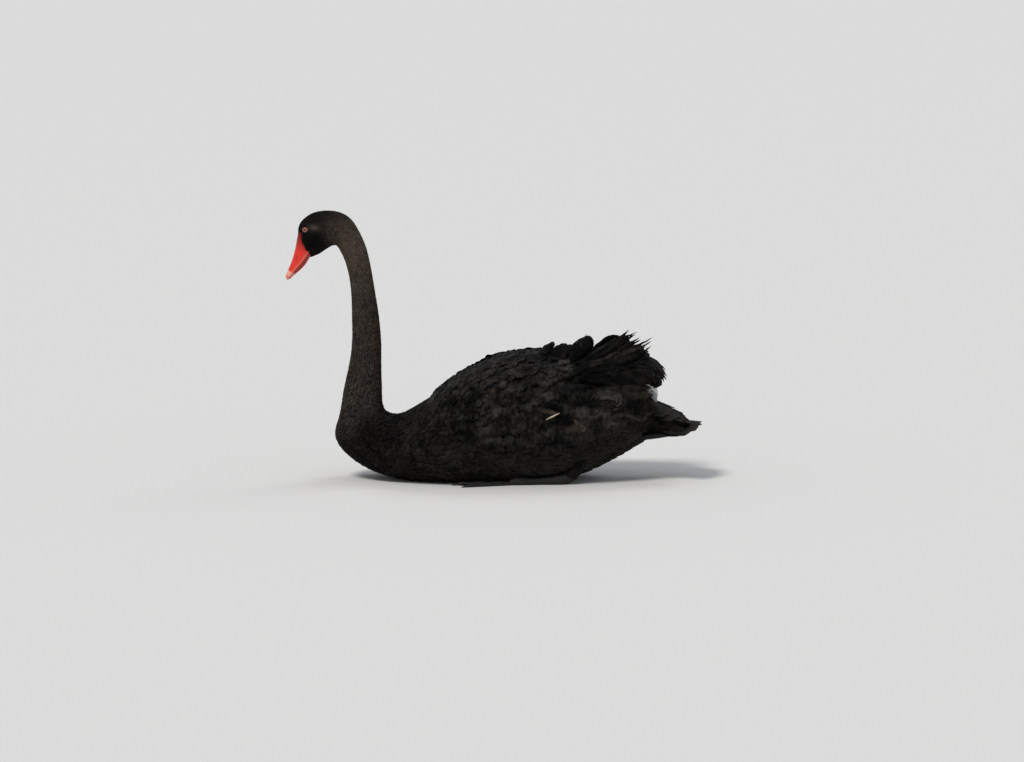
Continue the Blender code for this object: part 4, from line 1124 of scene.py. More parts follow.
class SwanPiece:
    """What the operators share."""

    bl_options = {"REGISTER", "UNDO"}

    @classmethod
    def finish(cls, name, make, *args, **kwargs):
        """A material that several pieces may share, made once."""
        return bpy.data.materials.get(name) or make(*args, **kwargs)


def body_place(along, angle):
    """Where roots lie on the unwrap of the body."""
    return np.stack([0.01 + 0.98 * along / ALONG[-1], 0.5 + 0.49 * angle / math.pi], axis=-1)


class OBJECT_OT_swan_skin(SwanPiece, bpy.types.Operator):
    """One skin over the trunk, neck and head, with the masses of the folded wings"""

    bl_idname = "object.swan_skin"
    bl_label = "Skin"

    def execute(self, context):
        _, colours = look_of(context)
        along = np.concatenate(
            [
                np.linspace(0, station("breast"), 130, endpoint=False),
                np.linspace(station("breast"), station("first vertebra"), 110, endpoint=False),
                np.linspace(station("first vertebra"), ALONG[-1], 110),
            ]
        )
        angle = np.linspace(-math.pi, math.pi, 96, endpoint=False)
        flat = along[:, None], angle[None, :]
        net = body_surface(*flat)
        marks = markings(net, along[:, None] + 0 * angle)
        depth = by_station(COAT_DEPTH, along)[:, None] * (1 - 0.85 * marks[..., 2])
        net = net - body_normal(*flat) * depth[..., None]
        for side in SIDES.values():
            centre, out = eye_centre(side)
            off = net - centre
            away = np.linalg.norm(off - (off @ out)[..., None] * out, axis=-1)
            near = np.exp(-((away / 0.0060) ** 2)) * (off @ out > 0)
            net = net - out * (0.0010 * near)[..., None]
        bodies = [tube(net)]
        marks = [np.concatenate([marks.reshape(-1, 3), marks[0, :1], marks[-1, :1]])]
        for side in SIDES.values():
            back = (np.linspace(0, 1, 44) ** 1.4)[:, None]
            up = np.linspace(0, 1, 30)[None, :]
            outer, _ = wing_surface(side, back, up, -0.005)
            inner, _ = wing_surface(side, back, up, -wing_depth(back, up) - 0.012)
            bodies.append(tube(np.concatenate([outer, inner[:, ::-1]], axis=1)))
            marks.append(np.zeros((len(bodies[-1][0]), 3)))
        points, faces = joined(bodies)
        points[:, 2] = np.maximum(points[:, 2], FLOOR_CLEAR)
        marks = np.concatenate(marks)
        look = np.full((len(points), 4), 0.35)
        look[:, 0] = 0.3 - 0.6 * marks[:, 0]
        look[:, 1:3] = marks[:, 1:]
        finish = plumage_finish("down_skin", colours, 0.75, rim=0.0)
        piece = new_piece("skin", points, faces, finish, colours={"look": look})
        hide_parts("torso", "neck_lower", "neck_middle", "neck_upper", "head")
        return {"FINISHED"}


def feather_coat(
    name, start, end, count, shapes, width, seed, finish, slot, keep, lift=(0.0, 0.0012), rows=5, freckles=None
):
    """Small feathers over a stretch of the body. width is a share of the length, keep says which roots
    may grow, and freckles how many of them are dark on each length of the body."""
    draw = np.random.default_rng(seed)

    def density(points, along, angle):
        return keep(points, along, angle) / (by_station(FEATHER_LENGTHS, along) ** 2)

    along, angle = spread(count, start, end, density, draw)
    length = by_station(FEATHER_LENGTHS, along) * draw.uniform(0.82, 1.18, count)
    turn = draw.normal(0, 0.14, count)
    depth = by_station(COAT_DEPTH, along) * draw.uniform(0.8, 1.1, count)
    raised = draw.uniform(*lift, count) * np.clip(length / 0.02, 0.25, 1)
    paths, out = coat_paths(along, angle, length, turn, depth, raised, rows)
    roots = body_surface(along, angle)
    marks = markings(roots, along)
    # The spot behind the eye is a painted highlight on the head's feathers.
    pale = spot(roots, -0.3195, 0.4535, 0.010, 0.006) + by_station(PALE, along)
    tone = (draw.beta(2.2, 2.6, count) + 0.8 * pale) * (1 - 0.6 * marks[:, 0]) - 0.45 * marks[:, 0]
    marks = marks[:, 1:] * (1, 0)
    if freckles:
        tone -= 0.65 * (draw.uniform(0, 1, count) < by_station(freckles, along))
    coat = Coat()
    kinds = draw.integers(0, len(shapes), count)
    for k, shape in enumerate(shapes):
        mine = kinds == k
        if not mine.any():
            continue
        half = length[mine] * width / 2 * draw.uniform(0.85, 1.15, mine.sum())
        points = lay(paths[mine], out[mine], half, shape, 0.25, length[mine] * 0.030)
        coat.add(points, shape, tone[mine], marks[mine], body_place(along, angle)[mine])
    return coat.piece(name, finish, slot)


class OBJECT_OT_swan_body_coat(SwanPiece, bpy.types.Operator):
    """Small feathers of the breast, flanks, belly and back"""

    bl_idname = "object.swan_body_coat"
    bl_label = "Body feathers"

    def execute(self, context):
        sizes, colours = look_of(context)

        def keep(points, along, angle):
            return np.where(wing_covers(points, angle, 7.0), 0.0, 1.0)

        shapes = [small_feather(0.5, (0.25, 0.6, 0.88)), small_feather(0.3, (0.22, 0.55, 0.85)), small_feather(0.62, (0.25, 0.6, 0.9))]
        finish = plumage_finish("body_plumage", colours, 0.62, barbs=170.0, rim=0.3)
        for name, start, end, count in (
            ("trunk_feathers", "tail root", "collar", sizes.body_feathers),
            ("breast_feathers", "collar", "neck root", sizes.breast_feathers),
        ):
            feather_coat(
                name, station(start), station(end) + 0.004, count, shapes, 0.46, 1, finish, "plumage", keep,
                (0.0, 0.0022), 6,
            )
        return {"FINISHED"}


class OBJECT_OT_swan_neck_coat(SwanPiece, bpy.types.Operator):
    """Small soft feathers of the neck"""

    bl_idname = "object.swan_neck_coat"
    bl_label = "Neck feathers"

    def execute(self, context):
        sizes, colours = look_of(context)
        shapes = [small_feather(0.3, (0.35, 0.8), 1.0), small_feather(0.5, (0.4, 0.85), 1.2)]
        finish = plumage_finish("neck_plumage", colours, 0.75, barbs=40.0, rim=0.2, sheen=0.05, hair=0.33, patchy=0.4)
        feather_coat(
            "neck_feathers", station("neck root") - 0.004, station("nape"), sizes.neck_feathers, shapes, 0.34, 2,
            finish, "neck_plumage", lambda points, along, angle: 1.0, (0.0, 0.0012), 4, NECK_FRECKLES,
        )
        return {"FINISHED"}


class OBJECT_OT_swan_head_coat(SwanPiece, bpy.types.Operator):
    """Tiny feathers of the head, smallest on the face"""

    bl_idname = "object.swan_head_coat"
    bl_label = "Head feathers"

    def execute(self, context):
        sizes, colours = look_of(context)
        eyes = [eye_centre(side)[0] for side in SIDES.values()]

        def keep(points, along, angle):
            clear = bareness(points) < 0.05
            for centre in eyes:
                clear &= np.linalg.norm(points - centre, axis=-1) > 0.0064
            return np.where(clear, 1.0, 0.0)

        shapes = [small_feather(0.3, (0.4, 0.8), 1.0), small_feather(0.5, (0.4, 0.85), 1.0)]
        finish = plumage_finish("head_plumage", colours, 0.65, barbs=30.0, rim=0.2, sheen=0.03, hair=0.2, patchy=0.3)
        feather_coat(
            "head_feathers", station("nape") - 0.004, ALONG[-1], sizes.head_feathers, shapes, 0.36, 3,
            finish, "neck_plumage", keep, (0.0, 0.0006), 4,
        )
        self.forehead(shapes, finish)
        return {"FINISHED"}

    def forehead(self, shapes, finish):
        """The tiny feathers that come down over the root of the bill."""
        draw = np.random.default_rng(5)
        u, v = evenly(900)
        u, around = -0.0220 + 0.0190 * u, math.pi * (0.10 + 0.80 * v)
        grown = bareness(bill_side(u, around), 0.0004) < 0.5
        u, around = u[grown], around[grown]
        share = np.linspace(0, 1, 4)[None, :]
        at = u[:, None] - share * 0.0026 * draw.uniform(0.8, 1.2, len(u))[:, None]
        turn = around[:, None] + 0 * at
        over = bill_side(at, turn + 0.03) - bill_side(at, turn - 0.03)
        out = unit(np.cross(over, bill_side(at + 0.0004, turn) - bill_side(at - 0.0004, turn)))
        out = out * np.sign(out[..., :1] * -1)
        paths = bill_side(at, turn) + out * (-0.0004 * (1 - share) + 0.0004 * share)[..., None]
        coat = Coat()
        marks = markings(paths[:, 0], np.full(len(u), ALONG[-1]))
        places = body_place(ALONG[-1] + 0.4 * (u + 0.022), math.pi / 2 - around)
        points = lay(paths, out, 0.00050, shapes[1], 0.25, 0.00008)
        coat.add(points, shapes[1], draw.beta(2.2, 2.6, len(u)), marks[:, 1:] * (1, 0), places)
        coat.piece("forehead_feathers", finish, "neck_plumage")


class OBJECT_OT_swan_eyes(SwanPiece, bpy.types.Operator):
    """The eyeballs, and the bare rims of their lids"""

    bl_idname = "object.swan_eyes"
    bl_label = "Eyes"

    def execute(self, context):
        _, colours = look_of(context)
        ball, rim = eye_finish(colours), lid_finish(colours)
        for name, side in SIDES.items():
            centre, out = eye_centre(side)
            across = unit(np.cross(out, [0, 0, 1]))
            over = np.cross(across, out)
            away = np.linspace(0.0, math.pi, 34)[:, None]
            turn = np.linspace(0, 2 * math.pi, 48, endpoint=False)[None, :]
            spokes = across * np.cos(turn)[..., None] + over * np.sin(turn)[..., None]
            bulge = EYE_RADIUS + 0.0003 * np.exp(-((away / 0.5) ** 2))
            net = centre + bulge[..., None] * (
                spokes * np.sin(away)[..., None] + out * np.cos(away)[..., None]
            )
            points, faces = tube(net[1:-1])
            far = np.concatenate([(away + 0 * turn)[1:-1].ravel(), [away[1, 0], math.pi]])
            round_it = np.concatenate([(turn + 0 * away)[1:-1].ravel(), [0, 0]])
            look = np.ones((len(points), 4))
            look[:, 0] = far
            look[:, 1] = round_it / 10
            piece = new_piece(f"eyeball_{name}", points, faces, ball, colours={"look": look})
            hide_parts(f"eye_{name}")
            self.make_lid(name, centre, out, across, over, rim)
        return {"FINISHED"}

    def make_lid(self, name, centre, out, across, over, finish):
        """The rim of the lids: a soft ring, a little longer than high, with fine folds."""
        rings = []
        for a in np.linspace(0, 2 * math.pi, 72, endpoint=False):
            spoke = across * math.cos(a) * 1.04 + over * math.sin(a) * (0.90 if math.sin(a) > 0 else 0.95)
            ripple = 1 + 0.05 * math.sin(a * 17) + 0.04 * math.sin(a * 31 + 1)
            ring = []
            for b in np.linspace(0, 2 * math.pi, 12, endpoint=False):
                wide = 0.00085 * math.cos(b) * ripple
                high = 0.00060 * math.sin(b) * ripple
                far = LID_RADIUS - 0.0001 + wide
                rise = math.sqrt(max(EYE_RADIUS**2 - min(far, EYE_RADIUS) ** 2, 0)) * 0.98
                ring.append(centre + spoke * far + out * (rise + high + 0.0001))
            rings.append(ring)
        count, around = len(rings), len(rings[0])
        faces = sheet_faces(count + 1, around, closed=True) % (count * around)
        new_piece(f"eyelid_{name}", rings, faces, finish)


class OBJECT_OT_swan_bill(SwanPiece, bpy.types.Operator):
    """The red bill, with its pale band, nail, nostrils and mouth line"""

    bl_idname = "object.swan_bill"
    bl_label = "Bill"

    def execute(self, context):
        _, colours = look_of(context)
        finish = bill_finish(colours)
        upper = self.upper(finish)
        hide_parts("bill_upper")
        lower = self.lower(finish)
        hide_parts("bill_lower")
        return {"FINISHED"}

    def upper(self, finish):
        start, end = BILL_SECTIONS[0][0], BILL_SECTIONS[-1][0]
        u = start + (end - start) * np.sin(np.linspace(0, 1, 130) * math.pi / 2) ** 1.0
        culmen, tomium, _, wide = bill_row(u)
        around = np.linspace(0, math.pi, 61)
        across = np.cos(around)[None, :] * wide[:, None]
        high = np.sin(around)[None, :] ** 0.9
        v = tomium[:, None] + (culmen - tomium)[:, None] * high
        nail = np.exp(-(((u - 0.0635) / 0.0045) ** 2))[:, None] * np.exp(-((across / 0.0065) ** 2))
        v = v + 0.0009 * nail * high
        groove = np.exp(-(((v - tomium[:, None]) / (culmen - tomium)[:, None] - 0.42) / 0.12) ** 2)
        groove = groove * np.clip((u - 0.004) / 0.01, 0, 1)[:, None] * np.clip((0.046 - u) / 0.012, 0, 1)[:, None]
        off_u = (u[:, None] - NOSTRIL["u"]) / (NOSTRIL["length"] / 2)
        off_v = (v - NOSTRIL["v"]) / (NOSTRIL["height"] / 2)
        hole = np.exp(-((off_u**2 + off_v**2) ** 1.5))
        rim = np.exp(-((np.sqrt(off_u**2 + off_v**2) - 1.45) ** 2) * 6)
        inward = 0.0004 * groove + NOSTRIL["depth"] * hole - 0.0001 * rim
        across = across * (1 - inward / np.maximum(np.abs(across), 0.004))
        bare = bareness(bill_point(u[:, None] + 0 * v, v, across), 0.003)
        across = across * (0.80 + 0.20 * bare)
        top = bill_point(u[:, None] + 0 * v, v, across)
        floor = np.stack([across[:, -1] * k for k in (0.8, 0.4, 0.0, -0.4, -0.8)], axis=1)
        comb = 0.00035 * (np.arange(len(u)) % 2)[:, None] * np.array([1, 0, 0, 0, 1])[None, :]
        under = bill_point(u[:, None] + 0 * floor, tomium[:, None] + comb + 0 * floor, floor)
        points, faces = tube(np.concatenate([top, under], axis=1))
        band = np.exp(-((np.abs(u - 0.0550) / 0.0045) ** 5)) + 0.42 * np.clip((u - 0.0575) / 0.003, 0, 1)
        band = np.minimum(band, 0.95)[:, None] * (0.60 + 0.40 * high)
        lip = np.exp(-(((v - tomium[:, None]) / 0.0024) ** 2)) * np.clip((u + 0.002) / 0.01, 0, 1)[:, None]
        low = np.concatenate([0.75 * lip, 0.6 * np.ones_like(floor)], axis=1)
        # The third channel is painted shade inside the nostrils.
        look = np.stack(
            [
                np.concatenate([band, band[:, :1] * np.ones_like(floor)], axis=1),
                low,
                np.concatenate([0.75 * hole, 0 * floor], axis=1),
                np.clip((u + 0.010) / 0.024, 0, 1)[:, None] * np.ones_like(low),
            ],
            axis=-1,
        ).reshape(-1, 4)
        look = np.concatenate([look, look[:1], look[-1:]])
        return new_piece("bill_upper_horn", points, faces, finish, colours={"look": look})

    def lower(self, finish):
        u = np.linspace(MANDIBLE_START, BILL_SECTIONS[-1][0] - 0.0025, 90)
        _, tomium, under, wide = bill_row(u)
        top = tomium - 0.0003
        around = np.linspace(math.pi, 2 * math.pi, 41)
        rounding = np.sqrt(np.clip((u - MANDIBLE_START) / 0.005 + 0.25, 0, 1))
        across = 0.86 * np.cos(around)[None, :] * (wide * rounding)[:, None]
        v = top[:, None] + ((top - under) * rounding)[:, None] * np.sin(around)[None, :]
        trough = bill_point(u[:, None] + 0 * v, v, across)
        lid = np.stack([across[:, -1] * k for k in (0.8, 0.4, 0.0, -0.4, -0.8)], axis=1)
        plate = bill_point(u[:, None] + 0 * lid, top[:, None] + 0 * lid, lid)
        points, faces = tube(np.concatenate([trough, plate], axis=1))
        lip = 0.5 * np.exp(-(((v - top[:, None]) / 0.0012) ** 2))
        lip = np.concatenate([lip, np.ones_like(lid)], axis=1)
        band = np.exp(-((np.abs(u - 0.0552) / 0.0046) ** 4))[:, None] * np.ones_like(lip)
        # The last channel, 0.45, keeps the whole lower mandible part way to the lore's darker red: painted shade
        # under the bill.
        look = np.stack([band * 0.7, lip, 0 * lip, 0 * lip + 0.45], axis=-1).reshape(-1, 4)
        look = np.concatenate([look, look[:1], look[-1:]])
        return new_piece("bill_lower_horn", points, faces, finish, colours={"look": look})


def wing_paths(side, back, up, length, drop, curve, depth, lift, rows):
    """Paths and outward directions of feathers on a folded wing."""
    share = np.linspace(0, 1, rows)[None, :]
    angle = np.radians(drop[:, None] + curve[:, None] * share)
    ahead, down = np.cos(angle), np.sin(angle)
    places = back[:, None] + share * length[:, None] * ahead / WING_LENGTH
    heights = up[:, None] - share * length[:, None] * down / WING_HEIGHT
    heights = np.clip(heights, 0.0, 1.0)
    rise = -depth * (1 - share) ** 1.5 + lift[:, None] * share**1.3
    points, out = wing_surface(side, np.clip(places, 0, 1), heights, rise)
    points[..., 0] += np.maximum(places - 1, 0) * WING_LENGTH
    return points, out


def wing_spot(side, x, z):
    """The place on a folded wing, back and up, at an x and a height."""
    back = (x - WING_FRONT) / (WING_REAR - WING_FRONT)
    up = np.linspace(0, 1, 200)
    heights = wing_surface(side, back + 0 * up, up)[0][:, 2]
    return back, up[np.abs(heights - z).argmin()]


def wing_place(back, up):
    """Where roots lie on the unwrap of the wing."""
    return np.stack([0.02 + 0.96 * np.clip(back, 0, 1), 0.02 + 0.96 * np.clip(up, 0, 1)], axis=-1)


def sunk(x):
    """How far the coat over the shoulders lies inside the wings' solids, which stand a little high there."""
    return 0.0048 * np.exp(-(((x + 0.016) / 0.036) ** 2))


class OBJECT_OT_swan_wings(SwanPiece, bpy.types.Operator):
    """The folded wings: tiers of coverts, and the long feathers of the rear"""

    bl_idname = "object.swan_wings"
    bl_label = "Wings"

    def execute(self, context):
        sizes, colours = look_of(context)
        finish = plumage_finish(
            "wing_plumage", colours, 0.55, barbs=650.0, rim=0.06, streak=0.4, mark=colours.tan, tips=0.15,
            patchy=1.4, folds=0.35, contrast=1.6,
        )
        for name, side in SIDES.items():
            draw = np.random.default_rng(20 + int(side))
            coat = Coat()
            self.coverts(coat, side, sizes, draw)
            self.secondaries(coat, side, sizes, draw)
            if side < 0:
                self.marked(coat, side, draw, colours)
            piece = coat.piece(f"wing_{name}_feathers", finish, "wing_plumage")
            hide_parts(f"wing_{name}")
        self.mantle(sizes, finish)
        return {"FINISHED"}

    def coverts(self, coat, side, sizes, draw):
        ends = (2.2, 2.6, 3.0, 2.4, 2.0, 2.8)
        shapes = [vaned_feather(draw, 24, 3.3, end, 0.045, 0.12, draw.uniform(0.08, 0.2), 0.5) for end in ends]
        back, up, length = [], [], []
        at, tier = -0.03, 0
        while at < 0.74:
            size = np.interp(at, (0.0, 0.25, 0.75), (0.50, 0.78, 1.05))
            gap = 0.60 * size * sizes.covert / WING_HEIGHT * 0.72
            rows = int(0.98 / gap)
            for row in range(rows + 1):
                place = 0.02 + (row + 0.5 * (tier % 2)) * 0.98 / rows
                if place < 1.0:
                    back.append(at + draw.uniform(-0.012, 0.012))
                    up.append(place + draw.uniform(-0.018, 0.018))
                    length.append(size * sizes.covert * draw.uniform(0.88, 1.14))
            at += 0.33 * size * sizes.covert / WING_LENGTH
            tier += 1
        back, up, length = np.array(back), np.array(up), np.array(length)
        count = len(back)
        calm = np.interp(up, (0.78, 0.92), (1.0, 0.25))
        drop = 7 - 15 * up + calm * draw.normal(0, 9, count)
        lift = draw.uniform(0.0, 0.0014, count) * np.interp(back, (0, 0.5, 0.8), (0.35, 0.8, 1.4))
        lift = lift * np.interp(up, (0.80, 0.95), (1.0, 0.05))
        end = WING_FRONT + back * (WING_REAR - WING_FRONT) + 0.7 * length
        lift = lift - 1.3 * sunk(end) * np.interp(up, (0.70, 0.90), (0.0, 1.0))
        paths, out = wing_paths(side, back, up, length, drop, calm * draw.normal(0, 13, count), 0.0055, lift, 8)
        curl = np.clip(draw.normal(0.0004, 0.0020, count), 0, 0.005) * np.interp(back, (0, 0.4), (0.3, 1.0))
        curl = curl * np.interp(up, (0.74, 0.86), (1, 0))
        share = np.clip((np.linspace(0, 1, 8) - 0.5) / 0.5, 0, 1) ** 2
        paths = paths + out * (curl[:, None] * share)[..., None]
        tone, tan = 0.22 + 0.36 * draw.beta(1.8, 2.6, count), draw.uniform(0.3, 1.0, count)
        kinds = draw.integers(0, len(shapes), count)
        for k, shape in enumerate(shapes):
            mine = kinds == k
            half = length[mine] * 0.30 * draw.uniform(0.8, 1.15, mine.sum())
            cup = draw.uniform(-0.04, 0.10, mine.sum())
            points = lay(paths[mine], out[mine], half, shape, cup, 0.00030, 0.15, 1.7)
            look = lit(points, side, tone[mine], tan[mine])
            coat.add(points, shape, *look, wing_place(back[mine], up[mine]))

    def marked(self, coat, side, draw, colours):
        """The tan and the dark feathers that stand out on the near wing, and one bare white quill."""
        for x, z, length, half, drop, tan, tone, quill in MARKED_FEATHERS:
            back, up = wing_spot(side, x, z)
            row = np.array([1.0])
            paths, out = wing_paths(
                side, back * row, up * row, length * row, drop * row, 0 * row,
                -0.0065 if quill else 0.001, (0.0090 if quill else 0.0072) * row, 8,
            )
            if quill:
                stem = vaned_feather(draw, 24, length / half, 1.6, 0.05, 0.08, 0.05, 0.2)
                points = lay(paths, out, half, stem, 0.3, 0.0010)
                bare = Coat()
                bare.add(points, stem, row, np.zeros((1, 2)), wing_place(back, up)[None])
                bare.piece("bare_quill", white_finish("quill_horn", colours.quill), "wing_plumage")
                continue
            shape = vaned_feather(draw, 30, length / half, draw.uniform(1.6, 2.4), 0.10, 0.22, 0.10, 0.25, 3)
            points = lay(paths, out, half, shape, 0.12, 0.0005, 0.12, 2.0)
            worn = tan * np.clip(0.45 + 0.75 * shape["s"] + 0.15 * (shape["shade"] - 0.5), 0, 1)
            marks = np.stack([0 * worn, worn], axis=1)[None]
            coat.add(points, shape, [tone], marks, wing_place(back, up)[None])

    def mantle(self, sizes, finish):
        """The feathers between the wings, which fill the back out to one smooth line."""
        draw = np.random.default_rng(18)
        count = sizes.mantle_feathers
        u, v = evenly(count)
        x = -0.135 + 0.255 * u + draw.normal(0, 0.003, count)
        angle = np.radians(40 * v - 20)
        share = np.linspace(0, 1, 8)[None, :]
        length = 0.044 * draw.uniform(0.85, 1.15, count) * np.interp(x, (-0.135, -0.06), (0.62, 1.0))
        places = x[:, None] + share * length[:, None]
        turned = angle[:, None] * (1 - 0.12 * share) + np.radians(draw.normal(0, 2.5, count))[:, None] * share
        back = np.clip((places - WING_FRONT) / (WING_REAR - WING_FRONT), 0, 1)
        along = trunk_place(places)
        out = body_normal(along, turned)
        room = 0.86 * wing_depth(back, 0.84 + 0 * back) * np.clip(back / 0.04, 0, 1)
        rise = room * (0.25 + 0.75 * share**0.7) + draw.uniform(0, 0.0010, count)[:, None] * share
        rise = rise - sunk(places) * share**0.7
        paths = body_surface(along, turned) + out * rise[..., None]
        tone = draw.beta(1.6, 2.6, count) + 0.1
        coat = Coat()
        shapes = [vaned_feather(draw, 24, 3.3, end, relief=0.35) for end in (2.2, 2.6, 2.0)]
        kinds = draw.integers(0, len(shapes), count)
        for k, shape in enumerate(shapes):
            mine = kinds == k
            points = lay(paths[mine], out[mine], length[mine] * 0.30, shape, 0.08, 0.0003, 0.08)
            coat.add(points, shape, tone[mine], np.zeros((mine.sum(), 2)), body_place(along[:, 0], angle)[mine])
        coat.piece("mantle_feathers", finish, "wing_plumage")

    def secondaries(self, coat, side, sizes, draw):
        shape = vaned_feather(draw, 50, 6.4, 2.6, sweep=0.09, relief=0.3)
        up = np.array([0.05, 0.13, 0.21, 0.30, 0.39, 0.48, 0.57, 0.66, 0.75, 0.84, 0.92, 0.98])
        count = len(up)
        back = 0.50 + 0.16 * up + draw.uniform(-0.01, 0.01, count)
        length = sizes.secondary * (1 - 0.12 * up) * draw.uniform(0.95, 1.05, count)
        drop = -2 + 8 * up * (up < 0.7) + draw.normal(0, 2.5, count)
        lift = np.maximum(0.0075 - 0.0005 * np.arange(count), 0.002)
        paths, out = wing_paths(side, back, up, length, drop, draw.normal(0, 3, count), 0.004, lift, 10)
        points = lay(paths, out, 0.023, shape, 0.16, 0.0007, 0.05, 2.0)
        look = lit(points, side, draw.beta(2, 3, count), draw.uniform(0.3, 1.0, count))
        coat.add(points, shape, *look, wing_place(back, up))


def free_paths(ways, rows):
    """Smooth paths of like length in rows through a few points each."""
    paths = []
    for way in ways:
        way = np.asarray(way, float)
        steps = np.concatenate([[0], np.cumsum(np.linalg.norm(np.diff(way, axis=0), axis=1))])
        paths.append(spline(steps, way, np.linspace(0, 1, rows) * steps[-1]))
    return np.array(paths)


def trunk_root(points):
    """Where roots near the trunk lie on the unwrap of the body."""
    middle = np.interp(points[:, 0], STATIONS[:11, 0][::-1], ((STATIONS[:11, 1] + STATIONS[:11, 3]) / 2)[::-1])
    angle = np.arctan2(points[:, 1], points[:, 2] - middle)
    return body_place(trunk_place(points[:, 0]), angle)


